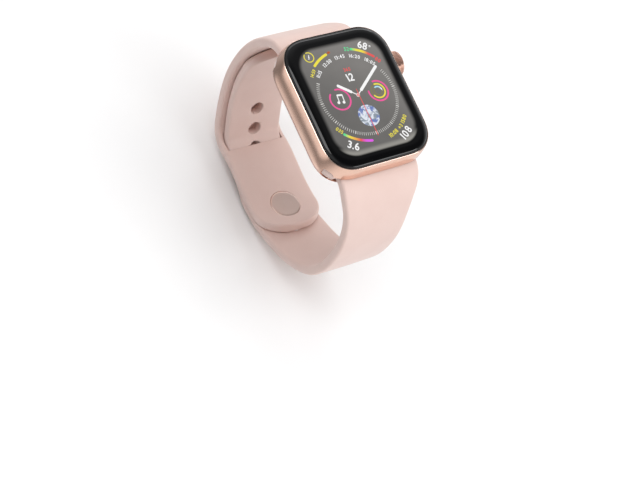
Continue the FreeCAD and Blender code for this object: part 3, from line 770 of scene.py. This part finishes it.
band = {"thick": 2.8, "upperHalf": 10.6, "lowerHalf": 10.0, "tailHalf": 9.0, "slotHalf": 9.3, "gap": 0.15,
        "crowning": 0.12, "rounding": 0.85, "holes": 7, "pitch": 7.2, "holeRadius": 2.1, "usedHole": 1}
upperPath = ((17.6, 3.6), (19.0, 3.58), (20.9, 3.2), (23.2, 1.6), (25.4, -1.3), (27.4, -4.8), (29.1, -8.9),
             (30.4, -13.8), (31.0, -19.5), (30.9, -25.5), (29.8, -32.0), (27.4, -39.2), (24.7, -45.1),
             (21.6, -49.3), (18.0, -50.6), (14.0, -50.0), (9.0, -49.7), (2.0, -49.9), (-4.0, -49.4),
             (-9.5, -47.8), (-14.0, -45.0))
lowerPath = ((-17.6, 3.6), (-19.0, 3.58), (-20.8, 3.1), (-22.9, 1.6), (-25.2, -1.1), (-27.6, -5.0),
             (-29.7, -9.6), (-31.3, -15.0), (-32.0, -21.0), (-31.8, -28.0), (-29.9, -34.6), (-26.0, -40.2),
             (-20.9, -44.9))


def smoothLine(points, samples=1200):
    # Smooth curve through (y, z) points, with its length from the start to each sample.
    knots = np.array(points, float)
    at = np.concatenate(([0.0], np.cumsum(np.hypot(*np.diff(knots, axis=0).T))))
    count = len(at)
    system = np.eye(count)
    right = np.zeros((count, 2))
    for k in range(1, count - 1):
        before = at[k] - at[k - 1]
        after = at[k + 1] - at[k]
        system[k, k - 1:k + 2] = (before, 2 * (before + after), after)
        right[k] = 6 * ((knots[k + 1] - knots[k]) / after - (knots[k] - knots[k - 1]) / before)
    bend = np.linalg.solve(system, right)
    place = np.linspace(0, at[-1], samples)
    k = np.clip(np.searchsorted(at, place, side="right") - 1, 0, count - 2)
    span = (at[k + 1] - at[k])[:, None]
    left = (at[k + 1] - place)[:, None]
    gone = (place - at[k])[:, None]
    line = (bend[k] * left ** 3 + bend[k + 1] * gone ** 3) / (6 * span)
    start = (knots[k] / span - bend[k] * span / 6) * left
    line += start + (knots[k + 1] / span - bend[k + 1] * span / 6) * gone
    reach = np.concatenate(([0.0], np.cumsum(np.hypot(*np.diff(line, axis=0).T))))
    return {"line": line, "reach": reach, "length": float(reach[-1])}


def pointOn(path, distance):
    return np.array([np.interp(distance, path["reach"], path["line"][:, axis]) for axis in (0, 1)])


def headingOn(path, distance):
    step = 0.15
    ahead = pointOn(path, min(distance + step, path["length"])) - pointOn(path, max(distance - step, 0.0))
    return ahead / np.hypot(*ahead)


def besideOn(path, distance, offset):
    ahead = headingOn(path, distance)
    return pointOn(path, distance) + np.array([-ahead[1], ahead[0]]) * offset


def nearestOn(path, point):
    away = np.hypot(*(path["line"] - np.array(point)).T)
    return float(path["reach"][int(np.argmin(away))])


upperLine = smoothLine(upperPath)
layerStep = band["thick"] + band["gap"]


def lowerRoute():
    route = list(lowerPath)
    for y, offset in ((-13.2, 1.02), (-9.5, 1.0), (-5.5, 1.0), (-1.5, 1.0), (2.5, 1.0), (6.5, 1.0),
                      (11.2, 0.72), (15.7, 0.0), (19.6, -0.7), (22.8, -1.0)):
        route.append(tuple(besideOn(upperLine, nearestOn(upperLine, (y, -50.0)), layerStep * offset)))
    for level in (-42.0, -36.5, -30.5, -24.5, -18.5, -12.5):
        route.append(tuple(besideOn(upperLine, nearestOn(upperLine, (30.0, level)), -layerStep)))
    return route


lowerLine = smoothLine(lowerRoute())
pinAt = nearestOn(upperLine, (-5.8, -49.4))
pinPoint = pointOn(upperLine, pinAt)
pinHeading = headingOn(upperLine, pinAt)
pinAxis = np.array([-pinHeading[1], pinHeading[0]])
holeAt = nearestOn(lowerLine, pinPoint + pinAxis * layerStep)


def flaredHalf(halfWidth, level):
    # Half width of a strap by its level: as wide as the lug at the case, then drawing in.
    levels = (-12.0, -7.5, -3.2, 0.2, 2.6)
    widths = (halfWidth, halfWidth + 0.15, halfWidth + 0.75, lug["half"] - 0.5, lug["half"])
    return float(np.interp(level, levels, widths))


def easedHalf(halfWidth, level):
    return sum(flaredHalf(halfWidth, level + shift) for shift in (-1.6, -0.8, 0.0, 0.8, 1.6)) / 5


def upperWidth(distance):
    width = easedHalf(band["upperHalf"], pointOn(upperLine, distance)[1])
    tip = band["upperHalf"] * 0.8
    past = distance - (upperLine["length"] - tip)
    return width * math.sqrt(max(0.0, 1 - (past / tip) ** 2)) if past > 0 else width


def lowerWidth(distance):
    y, z = pointOn(lowerLine, distance)
    if y < -1.0 or distance < 40:
        return easedHalf(band["lowerHalf"], z)
    narrow = min(1.0, (y + 1.0) / 8.0) if distance < holeAt + 20 else 1.0
    narrow = narrow * narrow * (3 - 2 * narrow)
    width = band["lowerHalf"] + (band["tailHalf"] - band["lowerHalf"]) * narrow
    tip = band["tailHalf"] * 0.8
    past = distance - (lowerLine["length"] - tip)
    return width * math.sqrt(max(0.0, 1 - (past / tip) ** 2)) if past > 0 else width


def strapSection(half, thick, rounding, crowning):
    # (x, rise) points round a strap: flat faces, rounded edges, the outer face slightly crowned.
    rounding = min(rounding, half * 0.98, thick * 0.48)
    points = []
    for signX, signRise, turn in ((1, 1, 0), (-1, 1, 90), (-1, -1, 180), (1, -1, 270)):
        for step in range(7):
            angle = math.radians(turn + 15 * step)
            points.append((signX * (half - rounding) + rounding * math.cos(angle),
                           signRise * (thick / 2 - rounding) + rounding * math.sin(angle)))
        if turn in (0, 180):
            across = [(half - rounding) * (1 - k / 6) for k in range(1, 12)]
            points += [(signX * x, signRise * thick / 2) for x in across]
    return [(x, rise - crowning * (x / max(half, 0.001)) ** 2 if rise > 0 else rise) for x, rise in points]


def strapSkin(name, path, widthAt, outward, start=0.0, extra=0.0, crowning=None, end=None):
    crowning = band["crowning"] if crowning is None else crowning
    end = path["length"] if end is None else end
    count = int((end - start) / 0.62)
    loops = []
    for row in range(count + 1):
        ratio = row / count
        if end == path["length"]:
            ratio = 1 - (1 - ratio) ** 1.25       # rows crowd together towards the tip
        distance = min(start + (end - start) * ratio, path["length"] - 0.004)
        half = widthAt(distance)
        thick = lug["neck"] + (band["thick"] - lug["neck"]) * min(1.0, distance / 10.0) + extra
        left = path["length"] - distance
        if left < 1.0 and extra == 0:
            thick *= math.sqrt(max(0.04, 1 - ((1.0 - left) / 1.03) ** 2))
        ahead = headingOn(path, distance)
        across = np.array([-ahead[1], ahead[0]]) * outward
        centre = pointOn(path, distance)
        loop = []
        for x, rise in strapSection(half, thick, 0.1 if extra else band["rounding"], crowning):
            y, z = centre + across * rise
            loop.append((x, y, z))
        loops.append(loop)
    return tidyMesh(loopsToMesh(name, loops, [finish["band_rubber"]]), 50)


def lugBlock(end):
    # Rounded bar that slides into the case, its ends following the corners of the case.
    loops = []
    rounding = lug["rounding"]
    turns = [math.radians(10 * k) for k in range(10)]
    levels = [(lug["low"] + rounding * (1 - math.cos(turn)), rounding * (1 - math.sin(turn)))
              for turn in turns]
    levels += [(lug["low"] + lug["high"] - level, inset) for level, inset in reversed(levels)]
    for level, inset in levels:
        loop = []
        near = lug["near"] + inset
        far = lug["far"] - inset
        for side in (1, -1):
            for k in range(13):
                ratio = k / 12 if side == 1 else 1 - k / 12
                y = near + (far - near) * ratio
                loop.append((side * (wallX(y, level) - lug["endGap"] - inset), end * y, level))
            for k in range(1, 18):
                x = wallX(far if side == 1 else near, level) - lug["endGap"] - inset
                loop.append((side * x * (1 - 2 * k / 18), end * (far if side == 1 else near), level))
        loops.append(loop)
    return tidyMesh(loopsToMesh("lugBlock", loops, [finish["band_rubber"]]), 50, 0.0001)


def cutterTree():
    # Round cutters at the vertices, each lying along its vertex's "across" direction.
    tree, source, sink = geometryTree("bandHoleCutters", (
        ("Radius", "NodeSocketFloat", 0.002), ("Depth", "NodeSocketFloat", 0.006)))
    rod = addNode(tree, "GeometryNodeMeshCylinder", {"Vertices": 40, "Radius": source.outputs["Radius"],
                                                     "Depth": source.outputs["Depth"]})
    across = addNode(tree, "GeometryNodeInputNamedAttribute", {"Name": "across"}, data_type="FLOAT_VECTOR")
    align = addNode(tree, "FunctionNodeAlignRotationToVector", {"Vector": across.outputs["Attribute"]},
                    axis="Z")
    rods = addNode(tree, "GeometryNodeInstanceOnPoints", {
        "Points": source.outputs["Geometry"], "Instance": rod.outputs[0], "Rotation": align.outputs[0]})
    return endTree(tree, sink, rods.outputs[0], finish["band_rubber"])


def holeCutters():
    centres = []
    directions = []
    for index in range(band["holes"]):
        distance = holeAt + (index - band["usedHole"]) * band["pitch"]
        ahead = headingOn(lowerLine, distance)
        y, z = pointOn(lowerLine, distance)
        centres.append((0.0, y, z))
        directions.append((0.0, -ahead[1], ahead[0]))
    made = meshObject("holeCutters", centres, [], [])
    attribute = made.data.attributes.new("across", "FLOAT_VECTOR", "POINT")
    attribute.data.foreach_set("vector", np.array(directions, np.float32).ravel())
    return runTree(made, cutterTree(), {"Radius": band["holeRadius"] * mm, "Depth": 4.4 * mm})


def rodOn(name, profile):
    # Turned piece on the pin's axis; heights count outwards from the middle of the pin strap.
    return turnedPiece(name, profile, 64, (0, *pinPoint), (0, *pinAxis), [finish["pin_metal"]])


def buildBand():
    upper = strapSkin("upper_band", upperLine, upperWidth, 1)
    carve(upper, [lugBlock(1)], "UNION")
    start = nearestOn(lowerLine, (6.0, -53.0))
    end = nearestOn(lowerLine, (24.5, -42.0))
    slotTool = strapSkin("slotTool", lowerLine, lambda distance: band["slotHalf"], -1, start, 0.2, 0.0, end)
    discWell = tidyMesh(rodOn("discWell", ((-2.4, 0), (-2.4, 4.56), (-0.6, 4.56), (-0.6, 0))))
    carve(upper, [slotTool, discWell])
    lower = strapSkin("lower_band", lowerLine, lowerWidth, -1)
    carve(lower, [lugBlock(-1)], "UNION")
    carve(lower, [holeCutters()])
    for piece in (upper, lower):
        soften(piece, 0.16, 48)
        tidyMesh(piece, 48)
    return upper, lower


upperBand, lowerBand = buildBand()
placePiece(upperBand, "band", "upper_strap")
placePiece(lowerBand, "band", "lower_strap")
print("band:", len(upperBand.data.polygons), len(lowerBand.data.polygons), "faces")


def buildPin():
    disc = [(-0.62, 0), (-0.62, 4.4), (-0.9, 4.5), (-1.38, 4.5), (-1.50, 4.45), (-1.57, 4.34), (-1.59, 4.15),
            (-1.575, 3.6), (-1.55, 2.2), (-1.54, 0)]
    base = layerStep + band["thick"] / 2
    stud = [(-0.6, 0), (-0.6, 1.6), (layerStep + 0.05, 1.6), (layerStep + 0.25, 1.98), (base - 0.55, 2.0),
            (base - 0.32, 1.9), (base - 0.2, 1.65), (base - 0.14, 1.2), (base - 0.11, 0.6), (base - 0.1, 0)]
    return tidyMesh(rodOn("pin_base", disc), 40), tidyMesh(rodOn("pin_stud", stud), 40)


pinBase, pinStud = buildPin()
placePiece(pinBase, "band", "pin_disc")
placePiece(pinStud, "band", "closure_pin")
print("closure done")


# Dial, lit marks just above the glass.

dial = {"level": 10.668, "step": 0.008, "tickCount": 120, "tickRadius": 11.3, "tickLength": 0.9,
        "tickWidth": 0.13, "gapStart": 28.0, "gapEnd": 150.0, "sunk": 0.014, "squeeze": 0.92}
tones = {"white": (246, 246, 246), "pink": (240, 92, 158), "yellow": (236, 222, 78),
         "red": (228, 92, 92), "orange": (178, 96, 62), "green": (98, 220, 150), "blue": (172, 222, 240),
         "magenta": (224, 96, 232), "dim": (128, 124, 92), "amber": (238, 176, 84)}


def linear(name):
    return tuple((value / 255) ** 2.2 for value in tones[name])


marks = {"points": [], "faces": [], "tones": []}


def addFlat(outline, tone, layer=0):
    # Thin plate from an outline; tone may be one colour or one for each point.
    top = dial["level"] + dial["step"] * layer
    bottom = dial["level"] - dial["sunk"]
    first = len(marks["points"])
    count = len(outline)
    colours = tone if isinstance(tone, list) else [tone] * count
    for level in (bottom, top):
        marks["points"] += [(x, y, level) for x, y in outline]
        marks["tones"] += colours
    marks["faces"].append(tuple(first + k for k in range(count - 1, -1, -1)))
    marks["faces"].append(tuple(first + count + k for k in range(count)))
    for k in range(count):
        after = (k + 1) % count
        marks["faces"].append((first + k, first + after, first + count + after, first + count + k))


def onCircle(centre, radius, degrees):
    angle = math.radians(degrees)
    return centre[0] + radius * math.cos(angle), centre[1] + radius * math.sin(angle)


def arcMark(centre, radius, width, start, end, toneStops, layer=0, ends=True):
    # Curved bar with round ends; its colour runs through the given stops.
    steps = max(6, int(abs(end - start) * radius / 14))
    stops = [linear(name) for name in toneStops]
    inner, outer = radius - width / 2, radius + width / 2

    def toneAt(ratio):
        at = ratio * (len(stops) - 1)
        low = min(int(at), len(stops) - 1)
        high = min(low + 1, len(stops) - 1)
        return tuple(a + (b - a) * (at - low) for a, b in zip(stops[low], stops[high]))

    for k in range(steps):
        corners = ((inner, k), (inner, k + 1), (outer, k + 1), (outer, k))
        quad = [onCircle(centre, reach, start + (end - start) * at / steps) for reach, at in corners]
        order = [toneAt(at / steps) for _, at in corners]
        if end > start:
            quad.reverse()
            order.reverse()
        addFlat(quad, order, layer)
    if ends:
        for degrees, tone in ((start, stops[0]), (end, stops[-1])):
            middle = onCircle(centre, radius, degrees)
            addFlat([onCircle(middle, width / 2, 20 * k) for k in range(18)], tone, layer)


def discMark(centre, radius, toneName, layer):
    addFlat([onCircle(centre, radius, 360 * k / 28) for k in range(28)], linear(toneName), layer)


def batonMark(start, end, width, toneName, layer, rounded=True):
    start = np.array(start, float)
    end = np.array(end, float)
    ahead = (end - start) / np.hypot(*(end - start))
    side = np.array([-ahead[1], ahead[0]]) * width / 2
    outline = []
    if rounded:
        for centre, turn in ((end, -90), (start, 90)):
            for k in range(9):
                angle = math.radians(turn + 22.5 * k)
                outline.append(tuple(centre + ahead * width / 2 * math.cos(angle) + side * math.sin(angle)))
    else:
        outline = [tuple(start - side), tuple(end - side), tuple(end + side), tuple(start + side)]
    addFlat(outline, linear(toneName), layer)


digitMeshes = {}


def digitMesh(character):
    # Solid of one numeral, one unit high, centred across.
    if character not in digitMeshes:
        curve = bpy.data.curves.new("digit", "FONT")
        curve.body = character
        curve.resolution_u = 4
        curve.offset = 0.02
        curve.extrude = 0.01
        holder = bpy.data.objects.new("digit", curve)
        scene.collection.objects.link(holder)
        graph = bpy.context.evaluated_depsgraph_get()
        mesh = bpy.data.meshes.new_from_object(holder.evaluated_get(graph), depsgraph=graph)
        points = [tuple(vertex.co) for vertex in mesh.vertices]
        faces = [tuple(face.vertices) for face in mesh.polygons]
        bpy.data.objects.remove(holder)
        bpy.data.curves.remove(curve)
        bpy.data.meshes.remove(mesh)
        digitMeshes[character] = (np.array(points), faces)
    return digitMeshes[character]


unitHeight = float(np.ptp(digitMesh("1")[0][:, 1]))


def digitRow(text, radius, middle, height, toneName, topsOut=True, gap=0.14):
    # Numerals set along a circle round the dial's centre, their tops or their feet outwards.
    scale = height / unitHeight
    squeeze = dial["squeeze"]
    widths = [float(np.ptp(digitMesh(character)[0][:, 0])) * scale * squeeze for character in text]
    direction = -1 if topsOut else 1
    travelled = -(sum(widths) + gap * height * (len(text) - 1)) / 2
    for character, width in zip(text, widths):
        degrees = middle + direction * math.degrees((travelled + width / 2) / radius)
        travelled += width + gap * height
        turn = math.radians(degrees - 90 if topsOut else degrees + 90)
        points, faces = digitMesh(character)
        flat = points[:, :2] * scale
        flat[:, 0] = (flat[:, 0] - (flat[:, 0].min() + flat[:, 0].max()) / 2) * squeeze
        flat[:, 1] -= height / 2
        spun = np.array([[math.cos(turn), -math.sin(turn)], [math.sin(turn), math.cos(turn)]])
        placed = flat @ spun.T + np.array(onCircle((0, 0), radius, degrees))
        first = len(marks["points"])
        for (x, y), isTop in zip(placed, points[:, 2] > 0):
            marks["points"].append((float(x), float(y), dial["level"] - (0 if isTop else dial["sunk"])))
            marks["tones"].append(linear(toneName))
        marks["faces"] += [tuple(first + k for k in face) for face in faces]


def collectMarks(name):
    made = meshObject(name, marks["points"], marks["faces"], [litTone])
    colours = made.data.attributes.new("tone", "FLOAT_COLOR", "POINT")
    colours.data.foreach_set("color", np.array([(*tone, 1.0) for tone in marks["tones"]], np.float32).ravel())
    for part in marks.values():
        part.clear()
    work = bmesh.new()
    work.from_mesh(made.data)
    bmesh.ops.remove_doubles(work, verts=work.verts, dist=0.0005 * mm)
    bmesh.ops.recalc_face_normals(work, faces=work.faces)
    work.to_mesh(made.data)
    work.free()
    placePiece(made, "case")
    return made


centre = (0, 0)
left = (-5.62, -0.02)
right = (6.36, -0.20)
alarm = (-8.90, 13.40)
arcs = (  # centre, radius, width, from and to in degrees, tones, layer, round ends
    (left, 2.95, 0.44, 95, -222, ("pink", "pink"), 0, True),
    (right, 2.90, 0.46, 98, -189, ("pink", "pink"), 0, True),
    (right, 2.02, 0.44, 98, -147, ("yellow", "yellow"), 0, True),
    (right, 1.22, 0.42, 118, 0, ("blue", "blue", "white"), 0, True),
    (right, 1.22, 0.42, 118, 360, ("dim", "dim"), 0, False),
    (right, 2.02, 0.44, 213, 98.001, ("dim", "dim"), -0.5, False),
    (centre, 13.6, 0.72, 128, 106, ("yellow", "yellow"), 0, True),
    (centre, 13.75, 0.6, 102.5, 100.5, ("orange", "orange"), 0, True),
    (alarm, 1.38, 0.26, 105, -225, ("yellow", "yellow"), 0, True),
    (centre, 13.65, 0.72, 72.3, 44.2, ("green", "yellow", "yellow", "red", "red"), 0, True),
    (onCircle(centre, 16.1, 51.4), 0.24, 0.16, 0, 359, ("white", "white"), 0, False),
    (centre, 13.2, 0.72, 226.5, 261.0, ("green", "yellow", "amber", "red", "magenta", "magenta"), 0, True))
strokes = (  # from, to, width, round ends: the beamed note and the alarm's two hands
    ((-6.25, -0.75), (-6.05, 1.35), 0.26, True), ((-4.75, -0.95), (-4.55, 1.15), 0.26, True),
    ((-6.05, 1.30), (-4.55, 1.10), 0.5, False), ((-8.72, 13.95), (-9.02, 13.35), 0.22, True),
    ((-8.85, 13.40), (-9.15, 12.85), 0.22, True))
numerals = (  # text, radius, angle, height, tone, tops outwards, gap
    ("14:59", 13.25, 138.2, 0.95, "yellow", True, 0.10), ("52", 13.65, 77.6, 1.15, "green"),
    ("80", 13.5, 38.0, 1.2, "red"), ("68", 15.6, 58.8, 2.15, "white", True, 0.1),
    ("035", 12.85, 219.5, 1.05, "yellow", False, 0.16), ("3.6", 15.3, 238.6, 2.15, "white", False, 0.1),
    ("10:08", 13.6, 291.5, 1.15, "yellow", False, 0.12), ("+3", 13.75, 304.4, 1.1, "yellow", False, 0.16),
    ("1580", 13.7, 315.6, 1.1, "yellow", False, 0.16), ("108", 15.9, 302.9, 2.15, "white", False, 0.2),
    ("11:15", 11.65, 135.0, 1.05, "white", True, 0.2), ("12:30", 11.65, 112.8, 1.05, "white", True, 0.2),
    ("13:45", 11.65, 90.6, 1.05, "white", True, 0.2), ("16:20", 11.65, 68.4, 1.05, "white", True, 0.2),
    ("18:05", 11.65, 46.2, 1.05, "white", True, 0.2), ("12", 5.40, 88.0, 2.25, "white", True, 0.12),
    ("365", 7.72, 88.0, 1.05, "red", True, 0.16))
for arc in arcs:
    arcMark(*arc)
for start, end, width, rounded in strokes:
    batonMark(start, end, width, "white", 1, rounded)
for head in ((-6.45, -0.78), (-4.95, -0.98)):
    discMark(head, 0.40, "white", 1)
for row in numerals:
    digitRow(*row)
dialMarks = collectMarks("dial_marks")

hands = {"minute": (9.26, 6.82), "hour": (-4.78, 4.02), "second": (0.33, -12.05), "tail": (0.28, 1.72),
         "width": 0.80, "neck": 0.26, "wideFrom": 2.05}


def drawHands():
    for tip, layer in ((hands["hour"], 1), (hands["minute"], 1.5)):
        reach = math.hypot(*tip)
        ahead = (tip[0] / reach, tip[1] / reach)
        ends = (hands["wideFrom"], reach - hands["width"] / 2)
        inner, outer = ((ahead[0] * far, ahead[1] * far) for far in ends)
        batonMark((0, 0), inner, hands["neck"], "white", layer)
        batonMark(inner, outer, hands["width"], "white", layer)
    discMark((0, 0), 0.52, "white", 2)
    batonMark(hands["tail"], hands["second"], 0.2, "red", 2.5)
    discMark((0, 0), 0.40, "red", 2.75)
    discMark((0, 0), 0.16, "white", 3)


drawHands()
dialHands = collectMarks("dial_hands")


def tickTree():
    # Radial ticks round a circle, none inside the angle gap, every tenth one bold.
    names = (("Radius", 0.01), ("Length", 0.001), ("Width", 0.0001), ("Height", 0.00003), ("Level", 0.01),
             ("Gap Start", 0.0), ("Gap End", 0.0))
    tree, source, sink = geometryTree("dialTicks", (
        ("Count", "NodeSocketInt", 60), *((name, "NodeSocketFloat", value) for name, value in names)))
    given = source.outputs
    circle = addNode(tree, "GeometryNodeMeshCircle", {"Vertices": given["Count"], "Radius": given["Radius"]})
    height = addNode(tree, "ShaderNodeCombineXYZ", {2: given["Level"]})
    lift = addNode(tree, "GeometryNodeTransform", {
        "Geometry": circle.outputs[0], "Translation": height.outputs[0]})
    place = addNode(tree, "GeometryNodeInputPosition").outputs[0]
    parts = addNode(tree, "ShaderNodeSeparateXYZ", {0: place}).outputs
    angle = mathNode(tree, "ARCTAN2", parts[1], parts[0])
    past = mathNode(tree, "GREATER_THAN", angle, given["Gap Start"])
    inGap = mathNode(tree, "MULTIPLY", past, mathNode(tree, "LESS_THAN", angle, given["Gap End"]))
    keep = addNode(tree, "GeometryNodeDeleteGeometry", {"Geometry": lift.outputs[0], "Selection": inGap},
                   domain="POINT")
    size = addNode(tree, "ShaderNodeCombineXYZ", {0: given["Length"], 1: given["Width"], 2: given["Height"]})
    bar = addNode(tree, "GeometryNodeMeshCube", {"Size": size.outputs[0]})
    flat = addNode(tree, "ShaderNodeVectorMath", {0: place, 1: (1, 1, 0)}, operation="MULTIPLY")
    align = addNode(tree, "FunctionNodeAlignRotationToVector", {"Vector": flat.outputs[0]}, axis="X")
    tenth = mathNode(tree, "MULTIPLY", angle, 12 / (2 * math.pi))
    offTenth = mathNode(tree, "ABSOLUTE", mathNode(tree, "SUBTRACT", tenth, mathNode(tree, "ROUND", tenth)))
    wide = mathNode(tree, "MULTIPLY_ADD", mathNode(tree, "LESS_THAN", offTenth, 0.03), 0.9, 1.0)
    grow = addNode(tree, "ShaderNodeCombineXYZ", {0: 1.0, 1: wide, 2: 1.0})
    ring = addNode(tree, "GeometryNodeInstanceOnPoints", {
        "Points": keep.outputs[0], "Instance": bar.outputs[0], "Rotation": align.outputs[0],
        "Scale": grow.outputs[0]})
    return endTree(tree, sink, ring.outputs[0], tickTone)


dialTicks = emptyMesh("dial_ticks")
runTree(dialTicks, tickTree(), {
    "Count": dial["tickCount"], "Radius": dial["tickRadius"] * mm, "Length": dial["tickLength"] * mm,
    "Width": dial["tickWidth"] * mm, "Height": 0.02 * mm, "Level": (dial["level"] - 0.006) * mm,
    "Gap Start": math.radians(dial["gapStart"]), "Gap End": math.radians(dial["gapEnd"])})
placePiece(dialTicks, "case")


globe = {"place": (0.34, -6.20), "radius": 3.1, "lift": 0.5}


def buildGlobe():
    rim = [onCircle(globe["place"], globe["radius"], 5 * k) for k in range(72)]
    levels = (dial["level"] - dial["sunk"], dial["level"] + dial["step"] * globe["lift"])
    loops = [[(x, y, level) for x, y in rim] for level in levels]
    return loopsToMesh("dial_globe", loops, [globeTone])


placePiece(tidyMesh(buildGlobe()), "case")
print("dial:", len(dialMarks.data.polygons) + len(dialHands.data.polygons), "mark faces,",
      len(dialTicks.data.polygons) // 6, "ticks")


# Floor, light and camera.

ground = {"half": 2500.0, "level": -55.2, "color": (0.93, 0.93, 0.93), "tint": (0.915, 0.915, 0.915)}


def buildFloor():
    half = ground["half"]
    corners = [(x * half, y * half, ground["level"]) for x, y in ((-1, -1), (1, -1), (1, 1), (-1, 1))]
    paper = grainMaterial("floorPaper", ground["color"], ground["tint"], (0.85, 0.95), 40.0, bump=0.02,
                          specular=0.1)
    floor = meshObject("studio_floor", corners, [(0, 1, 2, 3)], [paper])
    floor.visible_glossy = False      # so the metal shows the soft glow of the studio instead


buildFloor()
glow = {  # direction of each soft glow of the studio, where it starts and is full, its strength
    "base": 0.25,
    "lobes": (((0.35, -0.75, -0.56), 0.0, 0.9, 0.80), ((-0.94, 0.22, -0.25), 0.86, 0.955, 0.80),
              ((-0.36, 0.22, -0.90), 0.945, 0.995, 0.55), ((0.30, 0.95, 0.10), 0.3, 0.95, 0.45),
              ((0.97, 0.20, 0.0), 0.75, 0.96, 0.70), ((-0.80, 0.10, 0.60), 0.6, 0.95, 0.45),
              ((0.50, 0.22, 0.84), 0.3, 0.85, -0.22))}


def buildWorld():
    world = bpy.data.worlds.new("studioWorld")
    scene.world = world
    world.use_nodes = True
    tree = world.node_tree
    place = addNode(tree, "ShaderNodeTexCoord").outputs["Generated"]
    total = 0.0
    for direction, start, full, strength in glow["lobes"]:
        toward = Vector(direction).normalized()
        facing = addNode(tree, "ShaderNodeVectorMath", {0: place, 1: toward}, operation="DOT_PRODUCT")
        lobe = mapRange(tree, facing.outputs["Value"], start, full, 0.0, strength, smooth=True)
        total = mathNode(tree, "ADD", lobe, total)
    # Only mirror-like surfaces see the lobes.
    ray = addNode(tree, "ShaderNodeLightPath").outputs["Is Glossy Ray"]
    total = mathNode(tree, "ADD", mathNode(tree, "MULTIPLY", total, ray), glow["base"])
    feed(tree, tree.nodes["Background"], {"Color": (0.97, 0.98, 1.0), "Strength": total})


buildWorld()

lamps = {  # direction from the watch, distance (m), width and height (m), power (W), seen in reflections
    "overhead": ((0.12, -0.15, 1.0), 1.4, (1.5, 1.5), 14.5, False),
    "front": ((0.30, -0.90, 0.35), 1.1, (0.9, 0.7), 2.9, False),
    "rear": ((0.20, 0.85, 0.60), 1.1, (0.9, 0.7), 3.0, False),
    "key": ((-0.42, 0.28, 0.95), 1.0, (0.34, 0.5), 1.6, True),
    "top": ((0.42, 0.90, 0.30), 0.9, (0.9, 0.16), 1.0, True),
    "low": ((0.50, -0.70, 0.55), 0.9, (0.5, 0.2), 1.0, True)}


def addLamps():
    for name, (direction, distance, size, power, inGloss) in lamps.items():
        light = bpy.data.lights.new(name + "Lamp", "AREA")
        light.shape = "RECTANGLE"
        light.size, light.size_y = size
        light.energy = power
        lamp = bpy.data.objects.new(name + "Lamp", light)
        away = Vector(direction).normalized()
        lamp.location = away * distance + Vector((0, 0, -0.015))
        lamp.rotation_euler = away.to_track_quat("Z", "Y").to_euler()
        lamp.visible_glossy = inGloss
        scene.collection.objects.link(lamp)


addLamps()

shot = {"place": (-0.2119958, -0.1164854, 0.3207858), "turn": (24.686, -22.496, -26.084),
        "lens": 84.375, "sensor": 36.0, "near": 0.01}
camera = bpy.data.objects.new("camera", bpy.data.cameras.new("camera"))
camera.data.lens = shot["lens"]
camera.data.sensor_width = shot["sensor"]
camera.data.clip_start = shot["near"]
camera.location = shot["place"]
camera.rotation_euler = [math.radians(value) for value in shot["turn"]]
scene.collection.objects.link(camera)
scene.camera = camera
print("studio ready")
